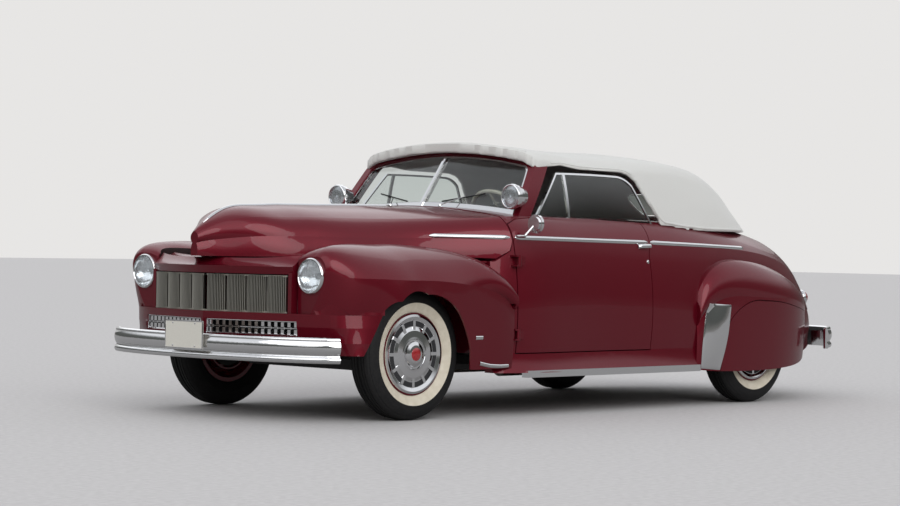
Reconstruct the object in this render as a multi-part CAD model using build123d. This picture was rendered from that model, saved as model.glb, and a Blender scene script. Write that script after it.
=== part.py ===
"""A two-door convertible car of the late 1940s, closed, with its soft top up.

Millimetres. +X runs towards the tail, +Y to the car's right, +Z up from the
ground. While the pieces are shaped, x is counted from the front axle; each one
is moved by -MIDDLE_X when it is written, so that the origin lies on the ground
under the middle of the car.
"""
import os
from math import cos, hypot, radians, sin

from build123d import *

# Overall sizes
WHEELBASE = 2997
FRONT_OVERHANG = 900
REAR_OVERHANG = 1229
FRONT_TRACK = 1470
REAR_TRACK = 1524
MIDDLE_X = (WHEELBASE + REAR_OVERHANG - FRONT_OVERHANG) / 2
NOSE_X = -FRONT_OVERHANG
TAIL_X = WHEELBASE + REAR_OVERHANG

# Sheet metal, walls and the gaps between panels
SKIN = 12
DOOR_WALL = 62
TOP_SKIN = 20
PANEL_GAP = 6
SEAT_GAP = 0.3

# Wheels
TYRE_R = 355
TYRE_W = 168
RIM_R = 208
RIM_W = 128
RIM_WALL = 9
COVER_R = 214
COVER_FINS = 12
HUB_R = 52
SPINDLE_R = 17
HUB_RUNNING_GAP = 0.06
DRUM_R = 150
DRUM_DEPTH = 58

# Steering and axles
KINGPIN_Y = 640
KINGPIN_R = 11
KINGPIN_EYE_R = 24
KINGPIN_EYE_H = 74
KNUCKLE_EAR_T = 16
AXLE_DROP = 78
REAR_TUBE_R = 40
DIFF_R = 135

# Doors
DOOR_FRONT_X = 748
DOOR_LENGTH = 1197
DOOR_LOW_Z = 350
DOOR_REAR_X = DOOR_FRONT_X + DOOR_LENGTH
SILL_Z = 1106
DOOR_BACK_SLANT = 0.20
# The windshield pillar stands on this step of the body, which the door fits round
PILLAR_BASE_X, PILLAR_BASE_Y, PILLAR_BASE_Z = 1004, 770, 1030

# Hood, trunk lid and top
HOOD_REAR_X = 735
LID_FRONT_X = WHEELBASE + 478
LID_HALF_W = 430
LID_LOW_Z = 520
TOP_FRONT_X = 1120
TOP_THICK = 24
BELT_Z = 1050

# Floor and frame
FLOOR_Z = 372
FLOOR_T = 30
REAR_FLOOR_Z = 590
ROCKER_Z = 240
RAIL_Y = 372
RAIL_W = 56
RAIL_H = 96
FRONT_RAIL_Z, MIDDLE_RAIL_Z, REAR_RAIL_Z = 392, 236, 462
RAIL_FRONT_X, RAIL_REAR_X = -585, TAIL_X - 250

# Windshield, its two flat panes meeting in a V at the middle
GLASS_T = 6
WINDSHIELD_FOOT = (852, 0, 1165)
WINDSHIELD_SIDE = (905, 620, 1144)
WINDSHIELD_HEAD = (1044, 0, 1430)
WINDSHIELD_FRAME = 16
PILLAR_DEPTH = 78
PILLAR_FACE = 40

os.makedirs("parts", exist_ok=True)
RIGHT, LEFT = 1, -1


# Tools of shape

def save(name, shape):
    """Move a finished piece to the car's own origin and write it."""
    moved = shape.moved(Location((-MIDDLE_X, 0, 0)))
    moved.label = name
    export_step(moved, f"parts/{name}.step")


def box(x0, x1, y0, y1, z0, z1):
    solid = Solid.make_box(x1 - x0, y1 - y0, z1 - z0)
    return solid.moved(Location((x0, y0, z0)))


def both(x0, x1, y0, y1, z0, z1):
    """The same box on either side of the middle plane."""
    return [box(x0, x1, y0, y1, z0, z1), box(x0, x1, -y1, -y0, z0, z1)]


def mirrored(shape):
    return shape.mirror(Plane.XZ)


def side_of(shape, side):
    return shape if side == RIGHT else mirrored(shape)


def rod(start, end, radius):
    a, b = Vector(*start), Vector(*end)
    plane = Plane(origin=a, z_dir=(b - a).normalized())
    return Solid.make_cylinder(radius, (b - a).length, plane)


def bent_edge(p, q, out, bulge):
    """A line from p to q, or an arc that stands bulge out from it."""
    if bulge == 0:
        return Edge.make_line(p, q)
    return Edge.make_three_point_arc(p, (p + q) / 2 + out * bulge, q)


def ring_x(x, corners):
    """Closed outline in the plane x, from corners (y, z, bulge of next edge)."""
    points = [Vector(x, y, z) for y, z, _ in corners]
    edges = []
    for i, (_, _, bulge) in enumerate(corners):
        p, q = points[i], points[(i + 1) % len(points)]
        d = (q - p).normalized()
        edges.append(bent_edge(p, q, Vector(0, d.Z, -d.Y), bulge))
    return Wire(edges)


def ring_y(y, corners):
    """Closed outline in the plane y, from corners (x, z, bulge of next edge)."""
    points = [Vector(x, y, z) for x, z, _ in corners]
    edges = []
    for i, (_, _, bulge) in enumerate(corners):
        p, q = points[i], points[(i + 1) % len(points)]
        d = (q - p).normalized()
        edges.append(bent_edge(p, q, Vector(d.Z, 0, -d.X), bulge))
    return Wire(edges)


def ring_z(z, corners):
    """Closed outline at height z, from corners (x, y, bulge of next edge)."""
    points = [Vector(x, y, z) for x, y, _ in corners]
    edges = []
    for i, (_, _, bulge) in enumerate(corners):
        p, q = points[i], points[(i + 1) % len(points)]
        d = (q - p).normalized()
        edges.append(bent_edge(p, q, Vector(d.Y, -d.X, 0), bulge))
    return Wire(edges)


def whole_ring(x, half):
    """Outline across the car: its right half, bottom to top, then its mirror."""
    left = [(-half[i][0], half[i][1], half[i - 1][2] if i else 0)
            for i in range(len(half) - 1, -1, -1)]
    return ring_x(x, half + left)


def prism_y(corners, y0, y1):
    """A side-view outline made solid from y0 to y1."""
    face = Face(ring_y(y0, corners))
    return Solid.extrude(face, Vector(0, y1 - y0, 0))


def prism_z(corners, z0, z1):
    """A plan outline made solid from z0 to z1."""
    face = Face(ring_z(z0, corners))
    return Solid.extrude(face, Vector(0, 0, z1 - z0))


def turned_y(profile, centre):
    """Revolve a profile of (radius, y) points about the line along Y at centre."""
    x, y, z = centre
    points = [Vector(x, y + dy, z + r) for r, dy in profile]
    face = Face(Wire.make_polygon(points, close=True))
    return Solid.revolve(face, 360, Axis((x, y, z), (0, 1, 0)))


def solids_in(*items):
    """Every solid of the given shapes and lists of shapes."""
    found = []
    for item in items:
        if isinstance(item, (list, tuple)):
            found += solids_in(*item)
        elif item is not None:
            found += list(item.solids())
    return found


def group(solids):
    return solids[0] if len(solids) == 1 else Compound(solids)


def cut(base, *tools):
    """What is left of base outside the tools."""
    knives = solids_in(*tools)
    return group(solids_in(*[solid.cut(*knives) for solid in solids_in(base)]))


def fuse(*items):
    first, *others = solids_in(*items)
    return group(solids_in(first.fuse(*others))) if others else first


def common(base, tool):
    """What base and tool share."""
    shared = [a.intersect(b) for a in solids_in(base) for b in solids_in(tool)]
    return group(solids_in(*shared))


def one_solid(shape):
    """The largest solid of a result, without slivers."""
    return max(solids_in(shape), key=lambda s: s.volume)


# Body: sections across the tub from the cowl to the tail
# x, rocker y and z, flare y and z, belt y and z, sill y and z, crown of the top
BODY_STATIONS = [
    (600, 835, ROCKER_Z, 806, 350, 768, 985, 668, 1100, 58),
    (DOOR_FRONT_X, 895, ROCKER_Z, 866, 350, 832, 985, 735, SILL_Z, 58),
    (DOOR_FRONT_X + 600, 905, ROCKER_Z, 868, 350, 842, 975, 748, SILL_Z, 50),
    (DOOR_REAR_X, 900, ROCKER_Z, 868, 350, 838, 963, 738, SILL_Z - 4, 45),
    (WHEELBASE - 297, 862, ROCKER_Z, 848, 350, 792, 950, 670, 1078, 52),
    (WHEELBASE + 353, 770, 260, 760, 360, 670, 905, 500, 1030, 75),
    (WHEELBASE + 803, 640, 300, 640, 400, 545, 790, 390, 925, 55),
    (WHEELBASE + 1098, 470, 380, 470, 440, 410, 570, 300, 650, 25),
]
SIDE_BULGE = 27


def body_rings(side_in, top_in, low_in, end_in):
    """Body sections, set in from the outer skin by the given amounts."""
    rings = []
    last = len(BODY_STATIONS) - 1
    for i, (x, ry, rz, fy, fz, by, bz, sy, sz, crown) in enumerate(BODY_STATIONS):
        x += end_in if i == 0 else (-end_in if i == last else 0)
        rings.append(whole_ring(x, [
            (ry - side_in, rz + low_in, -6),
            (fy - side_in, fz + low_in / 2, SIDE_BULGE),
            (by - side_in, bz - top_in / 2, 14),
            (sy - side_in, sz - top_in, crown),
        ]))
    return rings


def door_outline(gap):
    """Side view of a door, grown by gap all round."""
    return [
        (DOOR_FRONT_X - gap, DOOR_LOW_Z - gap, 0),
        (DOOR_REAR_X + gap, DOOR_LOW_Z - gap, 0),
        (DOOR_REAR_X + gap, 900, 0),
        (DOOR_REAR_X + 30 + gap, 1000, 0),
        (DOOR_REAR_X + 62 + gap, 1160, 0),
        (1005 - gap, 1160, 0),
        (DOOR_FRONT_X - gap, 1062 + gap * 0.4, 0),
    ]


def door_block(gap):
    """The space of the right-hand door. Its rear edge slants inwards, to open freely."""
    outer_y, inner_y = 960, 640
    slant = DOOR_BACK_SLANT * (outer_y - inner_y)
    outer = door_outline(gap)
    inner = [(x - slant if x > DOOR_FRONT_X + 400 else x, z, b) for x, z, b in outer]
    block = Solid.make_loft([ring_y(inner_y, inner), ring_y(outer_y, outer)], True)
    apart = PANEL_GAP - gap
    return cut(block, box(500, PILLAR_BASE_X + apart, 500, PILLAR_BASE_Y + apart,
                          PILLAR_BASE_Z - apart, 1300))


body_outer = Solid.make_loft(body_rings(0, 0, 0, 0))
body_inner = Solid.make_loft(body_rings(DOOR_WALL, TOP_SKIN, -60, 40))

CABIN_FRONT_X = HOOD_REAR_X + 45
CABIN_REAR_X = WHEELBASE - 560
SEAT_WELL_X = WHEELBASE - 200
TRUNK_FRONT_X = SEAT_WELL_X + 40
WELL_IN_Y = 610
INNER_Y = WELL_IN_Y - 26
COCKPIT_FRONT_X = 965
COCKPIT_REAR_X = WHEELBASE - 215
FENDER_R = 430


cockpit = prism_z([
    (COCKPIT_FRONT_X, 640, 0), (COCKPIT_FRONT_X, -640, 0), (1100, -676, 0),
    (DOOR_REAR_X, -672, 0), (COCKPIT_REAR_X - 120, -INNER_Y, 0),
    (COCKPIT_REAR_X, -440, 0), (COCKPIT_REAR_X, 440, 0),
    (COCKPIT_REAR_X - 120, INNER_Y, 0), (DOOR_REAR_X, 672, 0), (1100, 676, 0)],
    FLOOR_Z + 400, 1300)


# Door hinges: barrels on the door turn on pins that the body holds
HINGE_X, HINGE_Y = 742, 886
HINGE_HEIGHTS = (451, 860)
HINGE_PIN_R = 6
HINGE_BARREL_R = 11
HINGE_HALF = 22
HINGE_EAR_T = 9
BARREL_ROOM = 5


def hinge_barrels():
    """Right-hand door's barrels with their tabs, and the bores for the pins."""
    barrels, bores = [], []
    for z in HINGE_HEIGHTS:
        barrels.append(rod((HINGE_X, HINGE_Y, z - HINGE_HALF), (HINGE_X, HINGE_Y, z + HINGE_HALF),
                           HINGE_BARREL_R))
        barrels.append(box(HINGE_X, HINGE_X + 40, 832, HINGE_Y + 7, z - HINGE_HALF,
                           z + HINGE_HALF))
        bores.append(rod((HINGE_X, HINGE_Y, z - 60), (HINGE_X, HINGE_Y, z + 60),
                         HINGE_PIN_R + HUB_RUNNING_GAP))
    return barrels, bores


def hinge_pins():
    """Right-hand pins, each between two ears that stand out from the body."""
    pieces = []
    for z in HINGE_HEIGHTS:
        reach = HINGE_HALF + 0.5
        pieces.append(rod((HINGE_X, HINGE_Y, z - reach - HINGE_EAR_T),
                          (HINGE_X, HINGE_Y, z + reach + HINGE_EAR_T), HINGE_PIN_R))
        for low in (z - reach - HINGE_EAR_T, z + reach):
            pieces.append(box(HINGE_X - 30, HINGE_X, 820, HINGE_Y + 7, low, low + HINGE_EAR_T))
            pieces.append(rod((HINGE_X, HINGE_Y, low), (HINGE_X, HINGE_Y, low + HINGE_EAR_T),
                              HINGE_BARREL_R))
    return pieces


def make_shell():
    """Tub: cowl, rockers, quarter panels, tail and floor, hollowed for cabin and trunk."""
    cabin = common(body_inner, box(CABIN_FRONT_X, CABIN_REAR_X, -900, 900, FLOOR_Z, 1300))
    footwell = box(640, CABIN_FRONT_X + 5, -690, 690, FLOOR_Z, 830)
    rear_cabin = common(body_inner, box(CABIN_REAR_X - 5, SEAT_WELL_X, -INNER_Y, INNER_Y,
                                        REAR_FLOOR_Z, 1300))
    trunk = common(body_inner, box(TRUNK_FRONT_X, TAIL_X, -INNER_Y, INNER_Y,
                                   REAR_FLOOR_Z, 1300))
    axle_slot = box(WHEELBASE - 75, WHEELBASE + 75, -1000, 1000, 0, 480)
    under = box(580, CABIN_REAR_X + 25, -770, 770, 100, FLOOR_Z - FLOOR_T)
    under_rear = box(CABIN_REAR_X + 20, TAIL_X, -560, 560, 100, REAR_FLOOR_Z - FLOOR_T)
    well = Solid.make_cylinder(FENDER_R, 2 * (1000 - WELL_IN_Y), Plane(
        origin=(WHEELBASE, WELL_IN_Y, TYRE_R), z_dir=(0, 1, 0)))
    well_drop = box(WHEELBASE - FENDER_R, WHEELBASE + FENDER_R, WELL_IN_Y, 1200, 0, TYRE_R)
    hood_room = hood_space(PANEL_GAP)
    lid_room = box(LID_FRONT_X - PANEL_GAP, TAIL_X, -LID_HALF_W - PANEL_GAP,
                   LID_HALF_W + PANEL_GAP, LID_LOW_Z - PANEL_GAP, 1300)
    tools = [cabin, footwell, rear_cabin, trunk, cockpit, under, under_rear, hood_room,
             lid_room, axle_slot]
    for side in (RIGHT, LEFT):
        tools += [side_of(s, side) for s in (door_block(PANEL_GAP), well, well_drop)]
    shell = cut(body_outer, *tools)
    turning = [rod((HINGE_X, HINGE_Y, z - HINGE_HALF), (HINGE_X, HINGE_Y, z + HINGE_HALF),
                   HINGE_BARREL_R + BARREL_ROOM) for z in HINGE_HEIGHTS]
    shell = cut(shell, turning, [mirrored(s) for s in turning])
    pins = [side_of(s, side) for side in (RIGHT, LEFT) for s in hinge_pins()]
    return one_solid(fuse(shell, *pins))


def hood_space(gap):
    """What the hood and engine bay take from the body's front end."""
    return prism_y([
        (400, 860 - gap, 0), (HOOD_REAR_X - 110, 860 - gap, 0),
        (HOOD_REAR_X - 20 + gap, 915, 0),
        (HOOD_REAR_X + gap, 970, 0), (HOOD_REAR_X + gap, 1300, 0),
        (400, 1300, 0)], -1000, 1000)


# Hood: x, edge y and z, belt y and z, shoulder y and z, crown
HOOD_STATIONS = [
    (-857, 26, 860, 17, 928, 12, 985, 6),
    (-790, 88, 860, 70, 945, 52, 1024, 18),
    (-700, 190, 860, 168, 960, 130, 1058, 36),
    (-630, 260, 861, 242, 968, 190, 1070, 50),
    (-520, 340, 864, 316, 972, 245, 1074, 60),
    (-340, 412, 878, 386, 972, 302, 1076, 65),
    (-100, 492, 892, 464, 972, 368, 1076, 70),
    (150, 562, 888, 535, 975, 440, 1078, 72),
    (350, 642, 880, 616, 978, 518, 1084, 70),
    (520, 732, 874, 706, 982, 608, 1090, 66),
    (HOOD_REAR_X, 850, 868, 829, 985, 732, 1103, 58),
]
HOOD_SKIN = 14
HOOD_BULGES = (6, 16)
NOSE_HOLLOW = (11, 9, 7)
HOOD_SEAM = 5


def hood_rings(inset, drop):
    rings = []
    for i, (x, ey, ez, by, bz, sy, sz, crown) in enumerate(HOOD_STATIONS):
        if inset:
            x += inset if i == 0 else (60 if i == len(HOOD_STATIONS) - 1 else 0)
        edge, belt, shoulder = (max(y, least) for y, least in zip(
            (ey - inset, by - inset, sy - inset * 0.7), NOSE_HOLLOW))
        rings.append(whole_ring(x, [
            (edge, ez - drop, HOOD_BULGES[0]),
            (belt, bz - inset / 3, HOOD_BULGES[1]),
            (shoulder, sz - inset * 0.8, max(crown - inset * 0.2, 4)),
        ]))
    return rings


def make_hood():
    outer = Solid.make_loft(hood_rings(0, 0))
    inner = Solid.make_loft(hood_rings(HOOD_SKIN, 40))
    hood = cut(outer, inner)
    corner = prism_y([
        (HOOD_REAR_X - 110, 800, 0), (HOOD_REAR_X + 100, 800, 0),
        (HOOD_REAR_X + 100, 970, 0), (HOOD_REAR_X, 970, 0),
        (HOOD_REAR_X - 20, 915, 0), (HOOD_REAR_X - 110, 860, 0)], -1000, 1000)
    return one_solid(cut(hood, corner))


PAN_SEAM_Z = 568
FENDER_LOW_Z = PAN_SEAM_Z + SEAT_GAP
LAMP_X, LAMP_Y, LAMP_Z = -632, 668, 766
LAMP_R = 96

# Front fender: x, lower edge y and z, crease y and z, crown y and z, inner edge y and z
FENDER_STATIONS = [
    (LAMP_X, 664, FENDER_LOW_Z, 768, 766, 684, 866, 570, 848),
    (-600, 748, FENDER_LOW_Z, 812, 764, 702, 903, 566, 872),
    (-520, 838, FENDER_LOW_Z, 866, 760, 698, 926, 562, 884),
    (-440, 874, FENDER_LOW_Z, 894, 758, 684, 933, 500, 883),
    (-340, 903, FENDER_LOW_Z, 912, 756, 670, 936, 424, 882),
    (-100, 906, 420, 921, 750, 655, 938, 502, 882),
    (150, 902, 300, 922, 742, 680, 930, 572, 878),
    (350, 893, 268, 915, 722, 745, 905, 652, 870),
    (520, 885, 268, 906, 690, 822, 842, 742, 862),
    (640, 878, 268, 897, 640, 862, 755, 800, 790),
    (707, 872, 268, 886, 590, 872, 690, 826, 712),
]
FENDER_BULGES = (8, 42, 8)
ARCH = [(-345, 568, -4), (-470, 100, 0), (365, 100, 0), (338, 380, 10),
        (232, 575, 30), (-10, 676, 34), (-225, 640, 22)]


def fender_rings(inset, open_inwards):
    rings = []
    last = len(FENDER_STATIONS) - 1
    for i, (x, ly, lz, sy, sz, cy, cz, iy, iz) in enumerate(FENDER_STATIONS):
        if inset:
            x += inset if i == 0 else (-inset if i == last else 0)
        inner_y = iy - open_inwards
        low_z = lz - 60 if inset else lz
        rings.append(ring_x(x, [
            (inner_y, low_z, 0),
            (ly - inset, low_z, FENDER_BULGES[0]),
            (sy - inset, sz - inset * 0.2, FENDER_BULGES[1]),
            (cy - inset * 0.1, cz - inset, FENDER_BULGES[2]),
            (inner_y, iz - inset, 0),
        ]))
    return rings


def make_front_fender():
    outer = Solid.make_loft(fender_rings(0, 0))
    inner = Solid.make_loft(fender_rings(SKIN, 50))
    arch = prism_y(ARCH, 560, 1000)
    lamp_hole = rod((LAMP_X - 60, LAMP_Y, LAMP_Z), (LAMP_X + 60, LAMP_Y, LAMP_Z), LAMP_R - 8)
    hood_room = Solid.make_loft(hood_rings(-HOOD_SEAM, HOOD_SEAM))
    return one_solid(cut(outer, inner, arch, lamp_hole, hood_room, body_outer))


# Rear fender: x, lower edge y and z, crease y and z, crown y and z
REAR_FENDER_STATIONS = [
    (WHEELBASE - 637, 876, 222, 880, 480, 866, 640),
    (WHEELBASE - 540, 904, 212, 911, 600, 874, 790),
    (WHEELBASE - 380, 920, 206, 929, 655, 862, 862),
    (WHEELBASE - 97, 922, 204, 932, 655, 842, 872),
    (WHEELBASE + 203, 902, 212, 914, 648, 796, 832),
    (WHEELBASE + 453, 842, 232, 856, 620, 722, 772),
    (WHEELBASE + 653, 740, 270, 752, 560, 640, 690),
    (WHEELBASE + 790, 600, 330, 606, 480, 560, 580),
]


def rear_fender_rings(inset):
    rings = []
    last = len(REAR_FENDER_STATIONS) - 1
    for i, (x, ly, lz, sy, sz, cy, cz) in enumerate(REAR_FENDER_STATIONS):
        if inset:
            x += inset if i == 0 else (-inset if i == last else 0)
        low_z = lz - 60 if inset else lz
        inner_y = 540
        rings.append(ring_x(x, [
            (inner_y, low_z, 0),
            (ly - inset, low_z, 5),
            (sy - inset, sz, 34),
            (cy - inset * 0.5, cz - inset, 10),
            (inner_y, cz - inset + 4, 0),
        ]))
    return rings


SKIRT = [(WHEELBASE - 445, 100, 0), (WHEELBASE + 600, 100, 0),
         (WHEELBASE + 600, 560, 0), (WHEELBASE + 330, 600, 8),
         (WHEELBASE - 20, 632, 26), (WHEELBASE - 300, 570, 26),
         (WHEELBASE - 420, 390, 8)]


def grown(corners, centre, by):
    """Side-view outline with every corner moved out from centre by the given amount."""
    out = []
    for x, z, bulge in corners:
        dx, dz = x - centre[0], z - centre[1]
        far = hypot(dx, dz)
        out.append((x + dx / far * by, z + dz / far * by, bulge))
    return out


def make_rear_fender():
    """Rear fender, its wheel skirt and the bright shield on its leading edge."""
    outer = Solid.make_loft(rear_fender_rings(0))
    inner = Solid.make_loft(rear_fender_rings(SKIN))
    shell = cut(outer, inner, body_outer)
    skirt_room = prism_y(grown(SKIRT, (WHEELBASE, 400), PANEL_GAP / 2), 700, 1000)
    skirt_block = prism_y(grown(SKIRT, (WHEELBASE, 400), -PANEL_GAP / 2), 700, 1000)
    fender = one_solid(cut(shell, skirt_room))
    skirt = one_solid(common(shell, skirt_block))
    return fender, skirt


# Front pan below the grille: half plan at its top edge
PAN_STATIONS = [
    # height, set-back of the whole outline
    (PAN_SEAM_Z, 0),
    (500, 4),
    (420, 24),
    (356, 60),
]
PAN_REAR_X = -337
PAN_REAR_SLANT = 0.56
PAN_SIDE_Y = 903
PAN_MIDDLE_Z = 408


def pan_ring(z, back, inset):
    side = PAN_SIDE_Y - inset - back * 0.25
    rear = PAN_REAR_X - (PAN_SEAM_Z - z) * PAN_REAR_SLANT + (60 if inset else 0)
    nose = -790 + back + inset
    return ring_z(z, [
        (rear, -side, 0),
        (rear, side, 26),
        (-590 + back + inset, 770 - inset, 10),
        (-682 + back + inset, 560 - inset * 0.6, 8),
        (nose, 0, 8),
        (-682 + back + inset, -560 + inset * 0.6, 10),
        (-590 + back + inset, -770 + inset, 26),
    ])


GRILLE_LOW_Z, GRILLE_TOP_Z = PAN_SEAM_Z + SEAT_GAP, 766
GRILLE_NOSE_X, GRILLE_SIDE_X, GRILLE_SIDE_Y = -778, -672, 528
TEETH_LOW_Z, TEETH_TOP_Z = 452, 528
TEETH_IN_Y, TEETH_OUT_Y = 18, 600


def make_front_pan():
    outer = Solid.make_loft([pan_ring(z, b, 0) for z, b in PAN_STATIONS], True)
    low_z = PAN_STATIONS[-1][0]
    inner = Solid.make_loft([pan_ring(z - (40 if z == low_z else 0), b, SKIN)
                             for z, b in PAN_STATIONS], True)
    slots = both(-900, -560, TEETH_IN_Y, TEETH_OUT_Y, TEETH_LOW_Z, TEETH_TOP_Z)
    raised = Solid.extrude(Face(ring_x(-900, [
        (-540, low_z - 60, 0), (540, low_z - 60, 0), (540, low_z, 0), (440, PAN_MIDDLE_Z, 0),
        (-440, PAN_MIDDLE_Z, 0), (-540, low_z, 0)])), Vector(450, 0, 0))
    iron_holes = both(-900, -560, 250, 370, low_z - 60, FRONT_RAIL_Z + 46)
    roof = box(-640, PAN_REAR_X, -500, 500, 300, 700)
    pan = cut(outer, inner, raised, *slots, *iron_holes)
    shelf = Solid.make_loft([pan_ring(PAN_SEAM_Z - 10, 0, 0), pan_ring(PAN_SEAM_Z, 0, 0)], True)
    shelf = cut(shelf, roof, box(-640, 0, -1000, 1000, 0, 900))
    return one_solid(fuse(pan, shelf))


# Header over the grille: y, front x, top z
HEADER_STATIONS = [(0, -836, 854), (250, -795, 854), (420, -738, 860), (558, -668, 872)]
HEADER_LOW_Z, HEADER_NOSE_Z = 772, 812
HEADER_REAR_X = -520


def make_header():
    rings = []
    table = [(-y, x, z) for y, x, z in HEADER_STATIONS[:0:-1]] + HEADER_STATIONS
    for y, front, top in table:
        rings.append(ring_y(y, [
            (HEADER_REAR_X, HEADER_LOW_Z, 0),
            (HEADER_REAR_X, top, 0),
            (front + 70, top, 12),
            (front, HEADER_NOSE_Z, 7),
            (front + 22, HEADER_LOW_Z, 0),
        ][::-1]))
    header = Solid.make_loft(rings)
    posts = both(-668, -606, GRILLE_SIDE_Y + 4, 558, PAN_SEAM_Z + SEAT_GAP, HEADER_LOW_Z + 8)
    return one_solid(fuse(header, *posts))


def grille_x(y):
    """Face of the V-shaped grille at a distance y from the middle."""
    return GRILLE_NOSE_X + (GRILLE_SIDE_X - GRILLE_NOSE_X) * abs(y) / GRILLE_SIDE_Y


GRILLE_GROUPS = 4
BARS_PER_GROUP = 12
GRILLE_MIDDLE_GAP = 10
GROUP_GAP = 14
GROUP_BULGE = 7
BAR_W, BAR_D = 5, 14
RAIL_T = 8


def make_grille():
    """Fine upright bars in groups, each group between a top and a bottom rail."""
    pieces = []
    span = GRILLE_SIDE_Y - GRILLE_MIDDLE_GAP
    group_w = (span - GROUP_GAP * GRILLE_GROUPS) / GRILLE_GROUPS
    for side in (RIGHT, LEFT):
        for rail_z in (GRILLE_LOW_Z, GRILLE_TOP_Z - RAIL_T):
            a, b = GRILLE_MIDDLE_GAP, GRILLE_SIDE_Y
            pieces.append(prism_z([
                (grille_x(a) + 2, side * a, 0), (grille_x(b) + 2, side * b, 0),
                (grille_x(b) + 22, side * b, 0), (grille_x(a) + 22, side * a, 0),
            ][::-side], rail_z, rail_z + RAIL_T))
        for group in range(GRILLE_GROUPS):
            start = GRILLE_MIDDLE_GAP + group * (group_w + GROUP_GAP) + GROUP_GAP / 2
            pitch = (group_w - BAR_W) / (BARS_PER_GROUP - 1)
            for bar in range(BARS_PER_GROUP):
                y = start + bar * pitch
                y0, y1 = sorted((side * y, side * (y + BAR_W)))
                across = 2 * bar / (BARS_PER_GROUP - 1) - 1
                x = grille_x(y) - GROUP_BULGE * (1 - across ** 2)
                pieces.append(box(x, x + BAR_D, y0, y1, GRILLE_LOW_Z + 2, GRILLE_TOP_Z - 2))
        tie_y = GRILLE_MIDDLE_GAP
        y0, y1 = sorted((side * tie_y, 0))
        pieces.append(box(grille_x(0) + 6, grille_x(0) + 22, y0, y1, GRILLE_LOW_Z,
                          GRILLE_LOW_Z + RAIL_T))
    grille = fuse(pieces)
    return grille


TEETH_COUNT = 14
TOOTH_H = 25
TOOTH_D = 18


def make_teeth(side):
    """Lower grille: two rows of small bright teeth on three slim rails."""
    pieces = []
    row_h = (TEETH_TOP_Z - TEETH_LOW_Z) / 2
    width = TEETH_OUT_Y - TEETH_IN_Y
    for z in (TEETH_LOW_Z + 1, TEETH_LOW_Z + row_h - 2, TEETH_TOP_Z - 5):
        pieces.append(prism_z([
            (grille_x(TEETH_IN_Y) + 20, TEETH_IN_Y + 1, 0),
            (grille_x(TEETH_OUT_Y) + 20, TEETH_OUT_Y - 1, 0),
            (grille_x(TEETH_OUT_Y) + 34, TEETH_OUT_Y - 1, 0),
            (grille_x(TEETH_IN_Y) + 34, TEETH_IN_Y + 1, 0)][::-1], z, z + 4))
    for y0, y1 in ((TEETH_IN_Y + SEAT_GAP, TEETH_IN_Y + 4), (TEETH_OUT_Y - 4, TEETH_OUT_Y - SEAT_GAP)):
        pieces.append(box(grille_x(y0) - 4, grille_x(y0) + 34, y0, y1, TEETH_LOW_Z + SEAT_GAP,
                          TEETH_TOP_Z - SEAT_GAP))
    pitch = width / TEETH_COUNT
    for i in range(TEETH_COUNT):
        y = TEETH_IN_Y + (i + 0.5) * pitch
        x = grille_x(y) + 8
        for row in (0, 1):
            middle = TEETH_LOW_Z + (row + 0.5) * row_h
            pieces.append(box(x, x + TOOTH_D, y - pitch * 0.27, y + pitch * 0.27,
                              middle - TOOTH_H / 2, middle + TOOTH_H / 2))
            pieces.append(box(x + TOOTH_D - 4, x + TOOTH_D + 8, y - 3, y + 3,
                              middle - row_h / 2 + 2, middle + row_h / 2 - 2))
    teeth = fuse(pieces)
    return side_of(teeth, side)


# Bumpers: half path in plan as y, x and turn of the blade, and the section of the blade
FRONT_BUMPER = [(0, NOSE_X + 20, 0), (300, NOSE_X + 38, 8), (520, NOSE_X + 78, 18),
                (800, NOSE_X + 178, 50), (893, NOSE_X + 268, 73)]
REAR_BUMPER = [(0, TAIL_X, 0), (300, TAIL_X - 15, 10), (520, TAIL_X - 68, 25),
               (740, TAIL_X - 272, 50), (870, TAIL_X - 486, 64)]
BLADE_H = 132
BLADE_T = 15
FRONT_BLADE_Z = 320
REAR_BLADE_Z = 320


# Pads behind each blade, where its irons are bolted: the front one's values under True
PAD_Y = 250
BUMPER_PAD_X = {True: (NOSE_X + 46, NOSE_X + 80), False: (TAIL_X - 61, TAIL_X - 27)}
BUMPER_PAD_Z = {True: (343, 432), False: (385, 445)}


def make_bumper(table, low_z, forwards):
    """A pressed blade with a rounded upper face and a ridge along its lower edge."""
    out = -1 if forwards else 1
    # Blade profile as (distance out, height)
    profile = [(0, 0, 0), (-BLADE_T, 0, 0), (-BLADE_T, BLADE_H - 8, 0),
               (-8, BLADE_H, 4), (0, BLADE_H * 0.86, 9), (0, BLADE_H * 0.36, -3),
               (-2, BLADE_H * 0.26, 9)]
    stations = [(-y, x, -angle) for y, x, angle in table[:0:-1]] + table
    wires = []
    for y, x, angle in stations:
        nx, ny = out * cos(radians(angle)), sin(radians(angle))
        points = [Vector(x + nx * d, y + ny * d, low_z + h) for d, h, _ in profile]
        edges = []
        for i, (_, _, bulge) in enumerate(profile):
            p, q = points[i], points[(i + 1) % len(points)]
            along = (q - p).normalized()
            away = Vector(nx, ny, 0) * abs(along.Z) + Vector(0, 0, 1) * (
                abs(along.dot(Vector(nx, ny, 0))))
            edges.append(bent_edge(p, q, away.normalized(), bulge))
        wires.append(Wire(edges))
    blade = Solid.make_loft(wires)
    pads = both(*BUMPER_PAD_X[forwards], PAD_Y - 60, PAD_Y + 60, *BUMPER_PAD_Z[forwards])
    return one_solid(fuse(blade, *pads))


PLATE_W, PLATE_H, PLATE_T = 305, 150, 4
PLATE_Y, PLATE_Z = 22, 367
PLATE_HOLES_Y, PLATE_HOLES_Z = 178, 120
PLATE_HOLE_R = 3.5


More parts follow.
